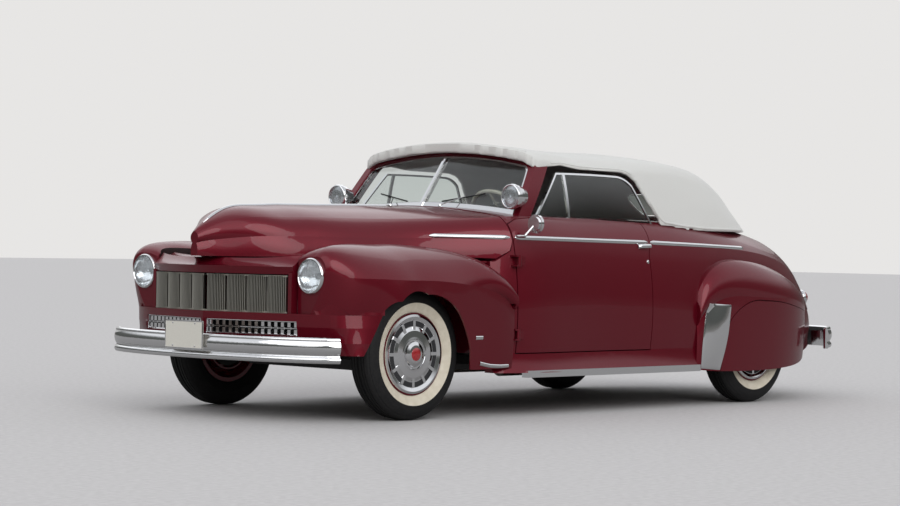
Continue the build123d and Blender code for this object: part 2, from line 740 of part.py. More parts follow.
def make_bumper_irons(front):
    """Flat spring irons from the frame's rails to the pads behind the blade."""
    pieces = []
    for side in (RIGHT, LEFT):
        if front:
            near, far = BUMPER_PAD_X[True][1] + SEAT_GAP, RAIL_FRONT_X - SEAT_GAP
            low, high = FRONT_RAIL_Z + 2, FRONT_RAIL_Z + 38
        else:
            near, far = BUMPER_PAD_X[False][0] - SEAT_GAP, RAIL_REAR_X - 120
            low, high = REAR_RAIL_Z - 50, REAR_RAIL_Z - SEAT_GAP
        plan = [(near, side * (PAD_Y - 20), 0), (near, side * (PAD_Y + 20), 0),
                (far, side * (RAIL_Y + 20), 0), (far, side * (RAIL_Y - 20), 0)]
        turn = -side if front else side
        pieces.append(prism_z(plan[::turn], low, high))
    return pieces


# Greenhouse: the shape that roof, pillars, panes and soft top share
# x, base y, rail y and z, shoulder y and z, crown
ROOF_STATIONS = [
    (760, 738, 640, 1368, 562, 1425, 58),
    (TOP_FRONT_X, 752, 682, 1392, 596, 1454, 56),
    (1600, 766, 702, 1394, 612, 1463, 57),
    (2100, 772, 694, 1392, 606, 1462, 60),
    (WHEELBASE - 447, 752, 655, 1366, 570, 1442, 62),
    (WHEELBASE - 47, 690, 590, 1258, 500, 1340, 62),
    (WHEELBASE + 253, 560, 470, 1126, 390, 1174, 55),
    (WHEELBASE + 453, 360, 312, 1070, 262, 1086, 34),
]
SIDE_WINDOW = [(700, 1000, 0), (2145, 1000, 0), (2132, 1112, -6), (1958, 1330, 16),
               (1800, 1384, 4), (1150, 1386, 0), (700, 1386, 0)]
REAR_WINDOW_HALF_W = 300
REAR_WINDOW_LOW_Z, REAR_WINDOW_TOP_Z = 1160, 1290


def roof_rings(inset):
    rings = []
    for i, (x, by, ry, rz, sy, sz, crown) in enumerate(ROOF_STATIONS):
        if inset:
            x -= inset if i == len(ROOF_STATIONS) - 1 else 0
        rings.append(whole_ring(x, [
            (by - inset, BELT_Z, 9),
            (ry - inset, rz - inset * 0.4, 9),
            (sy - inset * 0.4, sz - inset, crown),
        ]))
    return rings


roof_outer = Solid.make_loft(roof_rings(0))


def windshield_plane():
    foot, side, head = (Vector(*p) for p in
                        (WINDSHIELD_FOOT, WINDSHIELD_SIDE, WINDSHIELD_HEAD))
    along, up = side - foot, head - foot
    back = along.cross(up).normalized()
    if back.X < 0:
        back = back * -1
    return Plane(origin=foot, x_dir=along.normalized(), z_dir=back)


def windshield_slab(near, far):
    """The space between two depths behind the face of the panes, on both sides."""
    plane = windshield_plane()
    slab = Solid.make_box(1200, 1000, far - near)
    slab = slab.moved(Location((-200, -500, near)))
    slab = slab.moved(plane.location)
    right = common(slab, box(0, 2500, 0, 1200, 900, 1800))
    return fuse(right, mirrored(right))


def make_windshield():
    """Painted surround with header, bright frame with its middle bar, and the panes."""
    outer = roof_outer
    reveal = Solid.make_loft(roof_rings(PILLAR_FACE))
    daylight = Solid.make_loft(roof_rings(PILLAR_FACE + WINDSHIELD_FRAME))
    above_cowl = box(600, 1400, -900, 900, BELT_Z + 4, 1700)
    surround = cut(common(windshield_slab(0, PILLAR_DEPTH), outer), reveal)
    top_room = cut(box(HEADER_X_620 - HEADER_BOW - 60, 1500, -900, 900, 1402, 1700),
                   header_block(0, 1000))
    surround = cut(surround, top_room)
    header = cut(common(roof_outer, header_block(0, 1375)), reveal)
    behind = windshield_slab(-400, 0)
    surround = common(fuse(surround, cut(header, behind)), above_cowl)
    surround = one_solid(cut(surround, body_outer))
    frame_slab = windshield_slab(8, 30)
    frame = cut(common(frame_slab, reveal), daylight)
    bar = common(common(windshield_slab(2, 34), daylight), box(600, 1400, -11, 11, 900, 1700))
    foot = common(common(frame_slab, daylight), cowl_strip(8, 24))
    frame = one_solid(cut(fuse(frame, bar, foot), body_outer))
    glass = common(windshield_slab(14, 14 + GLASS_T), daylight)
    glass = cut(glass, body_outer, frame)
    return surround, frame, glass


def cowl_strip(low, high):
    """A band just above the cowl, for the foot of the windshield frame."""
    lifted = body_outer.moved(Location((0, 0, high)))
    return cut(lifted, body_outer)


# Rear edge of the header in plan, where the soft top starts: bow, then x at two widths
HEADER_BOW = 40
HEADER_X_620, HEADER_X_900 = 1152, 1204


def header_block(gap, low_z):
    """Space ahead of the soft top: the header sweeps back towards the pillars."""
    return prism_z([
        (500, -900, 0), (HEADER_X_900 + gap, -900, 0), (HEADER_X_620 + gap, -620, -HEADER_BOW),
        (HEADER_X_620 + gap, 620, 0), (HEADER_X_900 + gap, 900, 0), (500, 900, 0),
    ], low_z, 1700)


def make_soft_top():
    inner = Solid.make_loft(roof_rings(TOP_THICK))
    front = header_block(1, 1000)
    window = prism_y(SIDE_WINDOW, -1000, 1000)
    rear_window = prism_x_window(REAR_WINDOW_HALF_W, REAR_WINDOW_LOW_Z, REAR_WINDOW_TOP_Z)
    top = cut(roof_outer, inner, front, window, rear_window, body_outer)
    return one_solid(top)


def prism_x_window(half_w, low_z, high_z):
    """Rear window opening, with round ends, seen from behind."""
    r = 40
    face = Face(ring_x(WHEELBASE - 100, [
        (-half_w + r, low_z, 0), (half_w - r, low_z, r * 0.29),
        (half_w, low_z + r, 0), (half_w, high_z - r, r * 0.29),
        (half_w - r, high_z, 0), (-half_w + r, high_z, r * 0.29),
        (-half_w, high_z - r, 0), (-half_w, low_z + r, r * 0.29)]))
    return Solid.extrude(face, Vector(900, 0, 0))


def make_rear_window():
    """Pane held in the soft top's rear slope."""
    middle_out = Solid.make_loft(roof_rings(8))
    middle_in = Solid.make_loft(roof_rings(8 + GLASS_T))
    opening = prism_x_window(REAR_WINDOW_HALF_W - SEAT_GAP, REAR_WINDOW_LOW_Z + SEAT_GAP,
                             REAR_WINDOW_TOP_Z - SEAT_GAP)
    return one_solid(common(cut(middle_out, middle_in), opening))


# Door glass: outline of the door's panes in side view
PANE_OUT = 13
GLASS_LINE = [(1012, 1122, 0), (2088, 1112, 0), (1925, 1312, 12), (1790, 1364, 3),
              (1265, 1366, 0)]
VENT_BAR_X0, VENT_BAR_X1 = 1318, 1338


def make_door_glass():
    """Bright frame round the vent pane and the main pane, and the two panes."""
    skin_out = Solid.make_loft(roof_rings(PANE_OUT))
    skin_in = Solid.make_loft(roof_rings(PANE_OUT + 14))
    glass_out = Solid.make_loft(roof_rings(PANE_OUT + 4))
    glass_in = Solid.make_loft(roof_rings(PANE_OUT + 4 + GLASS_T))
    centre = (1600, 1230)
    outline = [(x, z - (60 if z < 1130 else 0), b) for x, z, b in GLASS_LINE]
    block = prism_y(outline, 500, 900)
    hole = prism_y(shrunk(outline, 11), 500, 900)
    bar = prism_y([(VENT_BAR_X0, 1050, 0), (VENT_BAR_X1, 1050, 0), (VENT_BAR_X1, 1400, 0),
                   (VENT_BAR_X0, 1400, 0)], 500, 900)
    band = cut(skin_out, skin_in)
    band = common(band, block)
    frame = fuse(cut(band, hole), common(band, bar))
    panes = common(common(cut(glass_out, glass_in), block), hole)
    frame = one_solid(cut(frame, body_outer, panes))
    panes = cut(panes, body_outer, bar_block())
    return frame, panes


def bar_block():
    return box(VENT_BAR_X0, VENT_BAR_X1, 500, 900, 1000, 1500)


def shrunk(corners, by):
    """Side-view outline moved in on all edges by the given amount, corner by corner."""
    n = len(corners)
    out = []
    for i, (x, z, bulge) in enumerate(corners):
        (xa, za, _), (xb, zb, _) = corners[i - 1], corners[(i + 1) % n]
        ax, az = x - xa, z - za
        bx, bz = xb - x, zb - z
        la, lb = hypot(ax, az), hypot(bx, bz)
        na, nb = (-az / la, ax / la), (-bz / lb, bx / lb)
        k = 1 + na[0] * nb[0] + na[1] * nb[1]
        out.append((x + by * (na[0] + nb[0]) / k, z + by * (na[1] + nb[1]) / k, bulge))
    return out


# Running gear

def make_tyre(x, y, side):
    """Cross-ply tyre, round-shouldered, with a hollow for the rim."""
    r, w = TYRE_R, TYRE_W / 2
    bead = RIM_W / 2 - 4.7
    profile = [(RIM_R + 2, -RIM_W / 2 + 12), (RIM_R + 14, -bead),
               (RIM_R + 28, -RIM_W / 2 - 5),
               (RIM_R + 62, -w + 2), (RIM_R + 88, -w), (r - 40, -w + 7), (r - 16, -w + 20),
               (r - 5, -w + 36), (r, -w + 58), (r, w - 58), (r - 5, w - 36),
               (r - 16, w - 20), (r - 40, w - 7), (RIM_R + 88, w), (RIM_R + 62, w - 2),
               (RIM_R + 28, RIM_W / 2 + 5), (RIM_R + 14, bead),
               (RIM_R + 2, RIM_W / 2 - 12)]
    return turned_y(profile, (x, y, TYRE_R))


DISC_OUT = 14


def make_wheel(x, y, side):
    """Pressed steel rim and disc, with hub and brake drum, bored for the spindle."""
    w = RIM_W / 2
    t = RIM_WALL
    rim = [(RIM_R + 13, -w), (RIM_R + 13, -w + 5), (RIM_R + 1.7, -w + 8), (RIM_R - 8, -w + 26),
           (RIM_R - 26, -w + 40), (RIM_R - 26, w - 40), (RIM_R - 8, w - 26),
           (RIM_R + 1.7, w - 8), (RIM_R + 13, w - 5), (RIM_R + 13, w),
           (RIM_R - t, w), (RIM_R - t - 10, w - 26), (RIM_R - 26 - t, w - 42),
           (RIM_R - 26 - t, -w + 42), (RIM_R - t - 10, -w + 26), (RIM_R - t, -w)]
    rim = [(r, side * d) for r, d in rim]
    disc = [(RIM_R - 30, side * (DISC_OUT - 6)), (RIM_R - 30, side * DISC_OUT),
            (120, side * (DISC_OUT + 14)), (HUB_R, side * DISC_OUT),
            (HUB_R, side * (DISC_OUT - 8)), (120, side * (DISC_OUT + 6))]
    hub_in = -48
    hub = [(SPINDLE_R + HUB_RUNNING_GAP, side * hub_in), (36, side * hub_in),
           (36, side * -20), (HUB_R + 4, side * -12), (HUB_R + 4, side * (DISC_OUT + 2)),
           (34, side * (DISC_OUT + 4)), (30, side * (DISC_OUT + 36)),
           (SPINDLE_R + HUB_RUNNING_GAP, side * (DISC_OUT + 36))]
    drum = [(HUB_R, side * -11), (HUB_R, side * -2), (DRUM_R, side * -2),
            (DRUM_R, side * (-2 - DRUM_DEPTH)), (DRUM_R - 9, side * (-2 - DRUM_DEPTH)),
            (DRUM_R - 9, side * -11)]
    centre = (x, y, TYRE_R)
    parts = [turned_y(p, centre) for p in (rim, disc, hub, drum)]
    return fuse(parts)


def make_cover(x, y, side):
    """Bright full wheel cover: rolled rim, ring of fins and a domed middle."""
    e = RIM_W / 2
    profile = [(COVER_R, e + 0.6), (COVER_R - 2, e + 6), (COVER_R - 14, e + 9),
               (COVER_R - 34, e + 2), (146, e + 2), (126, e + 8), (92, e + 11),
               (82, e + 13), (78, e + 7), (70, e + 7), (66, e + 15), (48, e + 22),
               (24, e + 26), (0, e + 27),
               (0, e + 23), (24, e + 22), (46, e + 18), (62, e + 11), (66, e + 3),
               (82, e + 3), (86, e + 7), (124, e + 3.5), (144, e - 3),
               (COVER_R - 34, e - 4), (COVER_R - 17, e + 2), (COVER_R - 6, e + 0.6)]
    cover = turned_y([(r, side * d) for r, d in profile], (x, y, TYRE_R))
    fins = []
    for i in range(COVER_FINS):
        fin = box(-9, 9, 0, 7, 84, COVER_R - 36)
        fin = fin.moved(Location((0, e, 0)))
        fin = fin.rotate(Axis.Y, 360 / COVER_FINS * i)
        fins.append(fin)
    fins = [(f if side == RIGHT else mirrored(f)).moved(Location((x, y, TYRE_R)))
            for f in fins]
    return one_solid(fuse(cover, *fins))


SPINDLE_TIP = 30


def make_knuckle(side):
    """Steering knuckle: two ears on the kingpin, a web, the spindle and its arm."""
    z = TYRE_R
    half = KINGPIN_EYE_H / 2
    ears = []
    for low in (z - half - KNUCKLE_EAR_T - 0.5, z + half + 0.5):
        ear = rod((0, KINGPIN_Y, low), (0, KINGPIN_Y, low + KNUCKLE_EAR_T), KINGPIN_EYE_R + 2)
        link = box(-22, 22, KINGPIN_Y, KINGPIN_Y + 44, low, low + KNUCKLE_EAR_T)
        ears += [ear, link]
    low, high = z - half - KNUCKLE_EAR_T - 0.5, z + half + KNUCKLE_EAR_T + 0.5
    web = box(-22, 22, KINGPIN_Y + KINGPIN_EYE_R + 4, KINGPIN_Y + 44, low, high)
    wheel_y = FRONT_TRACK / 2
    tip = wheel_y + DISC_OUT + SPINDLE_TIP
    spindle = rod((0, KINGPIN_Y + 40, z), (0, tip, z), SPINDLE_R)
    shoulder = rod((0, KINGPIN_Y + 40, z), (0, wheel_y - 50, z), 30)
    arm = box(0, 150, KINGPIN_Y - 8, KINGPIN_Y + 18, low, low + 14)
    arm_end = rod((146, KINGPIN_Y - 4, low), (146, KINGPIN_Y - 4, low + 14), 20)
    plate = rod((0, wheel_y - 58, z), (0, wheel_y - 52, z), 128)
    solid = fuse(web, *ears, spindle, shoulder, arm, arm_end, plate)
    bore = rod((0, KINGPIN_Y, low - 5), (0, KINGPIN_Y, high + 5), KINGPIN_R + 0.05)
    return side_of(one_solid(cut(solid, bore)), side)


def make_front_axle():
    """Forged beam, dropped between the eyes, with the two kingpins in it."""
    z = TYRE_R
    half = KINGPIN_EYE_H / 2
    low = z - AXLE_DROP
    beam = box(-22, 22, -470, 470, low - 28, low + 28)
    pieces = [beam]
    for side in (RIGHT, LEFT):
        eye = rod((0, side * KINGPIN_Y, z - half), (0, side * KINGPIN_Y, z + half),
                  KINGPIN_EYE_R)
        pin = rod((0, side * KINGPIN_Y, z - half - KNUCKLE_EAR_T - 2),
                  (0, side * KINGPIN_Y, z + half + KNUCKLE_EAR_T + 2), KINGPIN_R)
        rise = rod((0, side * 460, low), (0, side * (KINGPIN_Y - 6), z), 19)
        pieces += [eye, pin, rise]
    return one_solid(fuse(pieces))


LEAF_T = 8.7
LEAF_PITCH = 9
SPRING_LEAVES = 5
FRONT_SPRING = {"x": 0, "end_z": 318, "half": 460, "rise": 21.7, "width": 44}
REAR_SPRING = {"x": WHEELBASE + 278, "end_z": 385, "half": 520, "rise": 31.7, "width": 56}


def leaf_stack(x, end_z, half, rise, width):
    """Transverse spring: curved leaves, each shorter than the one below, and their clamp."""
    pieces = []
    for i in range(SPRING_LEAVES):
        share = 1 - 0.17 * i
        reach, sag = half * share, rise * share ** 2
        z = end_z + rise - sag + i * LEAF_PITCH
        leaf = ring_x(x - width / 2, [(-reach, z, -sag), (reach, z, 0),
                                      (reach, z + LEAF_T, sag), (-reach, z + LEAF_T, 0)])
        pieces.append(Solid.extrude(Face(leaf), Vector(width, 0, 0)))
    top = end_z + rise + SPRING_LEAVES * LEAF_PITCH + 4
    pieces.append(box(x - width / 2 - 7, x + width / 2 + 7, -42, 42, end_z + rise - 6, top))
    return pieces


def make_front_spring():
    x, half = FRONT_SPRING["x"], FRONT_SPRING["half"]
    beam_top = TYRE_R - AXLE_DROP + 28
    shackles = both(x - 20, x + 20, half - 24, half, beam_top + SEAT_GAP,
                    FRONT_SPRING["end_z"] + 5)
    return one_solid(fuse(*leaf_stack(**FRONT_SPRING), *shackles))


def make_rear_spring():
    """Rear spring behind the axle, with the arms that lie on the axle's tubes."""
    x, half = REAR_SPRING["x"], REAR_SPRING["half"]
    tube_top = TYRE_R + REAR_TUBE_R
    shackles = both(x - 24, x + 24, half - 25, half, REAR_SPRING["end_z"] + 1, tube_top + 17)
    arms = both(WHEELBASE - 18, x + 20, half - 25, half, tube_top + SEAT_GAP, tube_top + 17)
    return one_solid(fuse(*leaf_stack(**REAR_SPRING), *shackles, *arms))


def make_rear_axle():
    """Banjo housing with tubes to the drums, and the torque tube that runs forwards."""
    z = TYRE_R
    inner = REAR_TRACK / 2 - 78
    tube = rod((WHEELBASE, -inner, z), (WHEELBASE, inner, z), REAR_TUBE_R)
    ball = Solid.make_sphere(DIFF_R, Plane((WHEELBASE, 0, z)), angle1=-90, angle2=90,
                             angle3=360)
    torque = rod((WHEELBASE - 20, 0, z - 30), (1700, 0, 270), 30)
    pieces = [ball, torque]
    for side in (RIGHT, LEFT):
        y = side * inner
        tip = side * (REAR_TRACK / 2 + DISC_OUT + SPINDLE_TIP)
        pieces.append(rod((WHEELBASE, y - side, z), (WHEELBASE, tip, z), SPINDLE_R))
        plate_y = side * (REAR_TRACK / 2 - 58)
        pieces.append(rod((WHEELBASE, plate_y, z), (WHEELBASE, plate_y + side * 6, z), 128))
        pieces.append(rod((WHEELBASE, y - side, z), (WHEELBASE, plate_y, z), 30))
        pieces.append(rod((WHEELBASE, side * 300, z), (1720, side * 22, 272), 14))
    return one_solid(fuse(tube, *pieces))


SPRING_BEAM_X = WHEELBASE + 240


def make_frame():
    """Two box rails that rise over the rear axle, cross members and the centre X."""
    pieces = []
    front_z, mid_z, rear_z = FRONT_RAIL_Z, MIDDLE_RAIL_Z, REAR_RAIL_Z
    for side in (RIGHT, LEFT):
        y0, y1 = sorted((side * (RAIL_Y - RAIL_W / 2), side * (RAIL_Y + RAIL_W / 2)))
        # Side view of a rail, lower edge forwards and upper edge back
        rail = [(RAIL_FRONT_X, front_z, 0), (240, front_z, 0), (564, mid_z, 0),
                (WHEELBASE - 520, mid_z, 0), (WHEELBASE - 260, rear_z, 0),
                (RAIL_REAR_X, rear_z, 0), (RAIL_REAR_X, rear_z + RAIL_H - 6, 0),
                (WHEELBASE - 268, rear_z + RAIL_H - 6, 0),
                (WHEELBASE - 528, mid_z + RAIL_H, 0), (604, mid_z + RAIL_H, 0),
                (282, front_z + RAIL_H, 0), (RAIL_FRONT_X, front_z + RAIL_H, 0)]
        pieces.append(prism_y(rail, y0, y1))
    inside = RAIL_Y - RAIL_W / 2 + 4
    for x, z in ((-560, front_z + 8), (300, front_z - 4), (SPRING_BEAM_X, rear_z + 4),
                 (RAIL_REAR_X - 80, rear_z + 4)):
        pieces.append(box(x, x + 76, -inside, inside, z, z + 70))
    for side in (RIGHT, LEFT):
        for reach in (700, -700):
            middle = 1480
            pieces.append(prism_z([
                (middle - 40, -side * 20, 0), (middle + 40, -side * 20, 0),
                (middle + reach + 40, side * inside, 0), (middle + reach - 40, side * inside, 0),
            ][::side], mid_z + 20, mid_z + 80))
    for side in (RIGHT, LEFT):
        for x in (760, 1500, 2150):
            y0, y1 = sorted((side * (RAIL_Y + RAIL_W / 2 - 4), side * 769.5))
            pieces.append(box(x, x + 70, y0, y1, mid_z + 34, mid_z + 84))
    pieces.append(box(-52, 52, -inside, inside, front_z - 3, front_z + 62))
    frame = fuse(pieces)
    return one_solid(frame)


# Interior

def make_front_seat():
    pieces = []
    cushion = prism_y([(1360, 470, 0), (1880, 450, 0), (1900, 600, 6), (1370, 640, 12)],
                      -640, 640)
    back = prism_y([(1850, 500, 0), (1960, 500, 0), (2085, 1030, 10), (2010, 1040, 0),
                    (1890, 640, 4)], -640, 640)
    foot = box(1420, 1880, -560, 560, FLOOR_Z, 480)
    return one_solid(fuse(cushion, back, foot))


def make_rear_seat():
    cushion = prism_y([(2190, 470, 0), (2420, 470, 0), (2432, 610, 6), (2200, 640, 10)],
                      -572, 572)
    back = prism_y([(2432, 596, 0), (2530, 596, 0), (2660, 1050, 10), (2580, 1058, 0),
                    (2440, 640, 4)], -572, 572)
    foot = box(2230, 2425, -560, 560, FLOOR_Z, 480)
    return one_solid(fuse(cushion, back, foot))


DASH_LOW_X, DASH_LOW_Z = 900, 880


def make_dashboard():
    front = CABIN_FRONT_X + SEAT_GAP
    face = prism_y([(front, 900, 0), (DASH_LOW_X, DASH_LOW_Z, 0), (930, 940, 0), (925, 1040, 10),
                    (880, 1085, 6), (front, 1085, 0)], -640, 640)
    return one_solid(face)


STEER_Y = -360
COLUMN_TOP = (1196, STEER_Y, 1088)
COLUMN_TILT = 40
STEER_R = 215
STEER_RIM_R = 13
COLUMN_R = 22


def column_point(back):
    """Point on the column's axis, the given distance below the steering wheel's hub."""
    x, y, z = COLUMN_TOP
    a = radians(COLUMN_TILT)
    return (x - back * cos(a), y, z - back * sin(a))


def make_column():
    start = column_point(34)
    end = column_point(704)
    jacket = rod(end, start, COLUMN_R)
    bore = rod(column_point(120), column_point(-5), 9 + 0.05)
    hanger = box(DASH_LOW_X - 16, DASH_LOW_X, STEER_Y - 34, STEER_Y + 34, 836,
                 DASH_LOW_Z - SEAT_GAP)
    return one_solid(cut(fuse(jacket, hanger), bore))


def make_steering_wheel():
    """Rim, three spokes and the hub with its stub shaft."""
    a = radians(COLUMN_TILT)
    axis = Vector(cos(a), 0, sin(a))
    plane = Plane(origin=COLUMN_TOP, x_dir=(0, 1, 0), z_dir=axis)
    rim = Solid.make_torus(STEER_R, STEER_RIM_R, plane)
    hub = rod(column_point(32), column_point(-16), 34)
    stub = rod(column_point(110), column_point(0), 9)
    pieces = [hub, stub]
    for angle in (0, 120, 240):
        t = radians(angle + 90)
        tip = plane.from_local_coords(Vector(cos(t) * (STEER_R - 4), sin(t) * (STEER_R - 4), 0))
        pieces.append(rod(plane.origin, tip, 8))
    return one_solid(fuse(rim, *pieces))


# Small outer pieces

def make_headlamp(side):
    """Round sealed lamp with its bright ring and domed lens, set in the fender."""
    x0 = LAMP_X
    profile = [(0, -40), (34, -37), (62, -28), (82, -15), (LAMP_R - 4, -13), (LAMP_R, -9),
               (LAMP_R, -SEAT_GAP), (LAMP_R - 8 - SEAT_GAP, -SEAT_GAP), (LAMP_R - 12, 60),
               (60, 96), (0, 104)]
    face = Face(Wire.make_polygon([Vector(x0 + d, LAMP_Y, LAMP_Z + r) for r, d in profile],
                                  close=True))
    lamp = Solid.revolve(face, 360, Axis((x0, LAMP_Y, LAMP_Z), (1, 0, 0)))
    return side_of(lamp, side)


SPOT_X, SPOT_Y, SPOT_Z = 870, 700, 1219
SPOT_R = 73


def make_spotlight(side, *round_it):
    """Bullet-shaped lamp on a stem that ends at the windshield pillar."""
    profile = [(0, -8), (40, -5), (SPOT_R - 6, 2), (SPOT_R, 6), (SPOT_R, 18),
               (SPOT_R - 6, 44), (SPOT_R - 20, 84), (SPOT_R - 44, 112), (0, 122)]
    face = Face(Wire.make_polygon([Vector(SPOT_X + d, SPOT_Y, SPOT_Z + r)
                                   for r, d in profile], close=True))
    lamp = Solid.revolve(face, 360, Axis((SPOT_X, SPOT_Y, SPOT_Z), (1, 0, 0)))
    stem = rod((SPOT_X + 62, SPOT_Y, SPOT_Z - 40), (SPOT_X + 122, 690, 1118), 10)
    shape = one_solid(cut(fuse(lamp, stem), body_outer, *round_it))
    return side_of(shape, side)


MIRROR_AT = (832, -925, 1066)


def make_mirror():
    """Round door mirror on a slim arm from the belt line at the front hinge."""
    x, y, z = MIRROR_AT
    head = rod((x - 12, y, z), (x + 8, y, z), 52)
    dome = rod((x - 22, y, z), (x - 10, y, z), 40)
    arm = rod((x - 8, y, z), (x - 62, y + 30, z - 70), 6)
    foot = rod((x - 62, y + 24, z - 70), (x - 62, y + 110, z - 70), 8)
    return one_solid(cut(fuse(head, dome, arm, foot), body_outer))


def make_plate():
    """Blank number plate held in front of the bumper's blade."""
    x = NOSE_X
    plate = box(x, x + PLATE_T, PLATE_Y - PLATE_W / 2, PLATE_Y + PLATE_W / 2, PLATE_Z,
                PLATE_Z + PLATE_H)
    stay = box(x + PLATE_T, x + 20 + BLADE_T + 8, -14, 14, FRONT_BLADE_Z + BLADE_H + SEAT_GAP,
               FRONT_BLADE_Z + BLADE_H + 7)
    clip = box(x + 20 + BLADE_T + SEAT_GAP, x + 20 + BLADE_T + 8, -14, 14, FRONT_BLADE_Z + 60,
               FRONT_BLADE_Z + BLADE_H + 7)
    middle = PLATE_Z + PLATE_H / 2
    holes = [rod((x - 5, y, middle + z), (x + 15, y, middle + z), PLATE_HOLE_R)
             for y in (PLATE_Y - PLATE_HOLES_Y / 2, PLATE_Y + PLATE_HOLES_Y / 2)
             for z in (-PLATE_HOLES_Z / 2, PLATE_HOLES_Z / 2)]
    return one_solid(cut(fuse(plate, stay, clip), *holes))


def make_tail_lamp(side):
    """Oval lamp on the tail beside the lid."""
    x, y, z = WHEELBASE + 962, 442, 640
    outer = Solid.make_cylinder(40, 60, Plane(origin=(x, y, z), z_dir=(1, 0.35, 0)))
    lamp = cut(outer, body_outer)
    return side_of(one_solid(lamp), side)


STRIP_LOW_Z, STRIP_TOP_Z = 213, 252
STRIP_X0, STRIP_X1 = 800, WHEELBASE - 638


def make_rocker_strip(side):
    """Bright moulding under the rocker."""
    strip = prism_y([(STRIP_X0, STRIP_LOW_Z, 0), (STRIP_X1, STRIP_LOW_Z, 0),
                     (STRIP_X1, STRIP_TOP_Z, 0), (STRIP_X0, STRIP_TOP_Z, 0)], 868, 914)
    return side_of(one_solid(cut(strip, body_outer)), side)


def make_engine():
    """Engine and gearbox as one block on its two mounts."""
    block = box(-250, 420, -295, 295, 492, 930)
    feet = both(-20, 60, 290, 388, FRONT_RAIL_Z + RAIL_H + SEAT_GAP, 520)
    return one_solid(fuse(block, *feet))


def make_radiator():
    core = box(-470, -400, -270, 270, 500, 830)
    tank = box(-478, -392, -280, 280, 800, 855)
    feet = both(-470, -400, 262, 388, FRONT_RAIL_Z + RAIL_H + SEAT_GAP, 512)
    return one_solid(fuse(core, tank, *feet))


APRON_Y = 440


def make_apron(side):
    """Inner wall between engine bay and wheel, with the ledge that carries the fender."""
    wall = box(HEADER_REAR_X + 4, 600, APRON_Y, APRON_Y + 8, FRONT_RAIL_Z + 36, 856)
    ledge = prism_z([(HEADER_REAR_X + 1, 300, 0), (-330, 300, 0), (-300, APRON_Y, 0),
                     (600, APRON_Y, 0), (600, 770, 0), (350, 640, 0), (-100, 496, 0),
                     (-340, 470, 0), (-400, 560, 0), (HEADER_REAR_X + 1, 600, 0)], 846, 856)
    shape = fuse(wall, ledge)
    return side_of(one_solid(cut(shape, body_outer)), side)


def make_exhaust():
    z = 188
    drop = rod((200, 262, 491.7), (200, 262, 250), 22)
    pipe = rod((200, 262, 262), (1000, 300, z), 22)
    rest = rod((1000 - 6, 300, z), (1900, 300, z), 22)
    muffler = rod((1900, 300, z), (2450, 300, z), 54)
    tail = rod((2450, 300, z), (TAIL_X - 150, 300, 220), 22)
    return one_solid(fuse(drop, pipe, rest, muffler, tail))


def make_tank():
    front_beam, rear_beam = SPRING_BEAM_X + 76 + SEAT_GAP, RAIL_REAR_X - 80 - SEAT_GAP
    tank = box(WHEELBASE + 340, WHEELBASE + 840, -300, 300, 290, 455)
    tank = fillet(tank.edges().filter_by(Axis.Y), 30)
    hangers = both(front_beam, WHEELBASE + 400, 150, 190, 440, REAR_RAIL_Z + 16)
    hangers += both(WHEELBASE + 780, rear_beam, 150, 190, 440, REAR_RAIL_Z + 16)
    return one_solid(fuse(tank, *hangers))


def pair(make, *args):
    """The right-hand piece and its mirror, which do not touch."""
    right = make(RIGHT, *args)
    return Compound(solids_in(right, mirrored(right)))


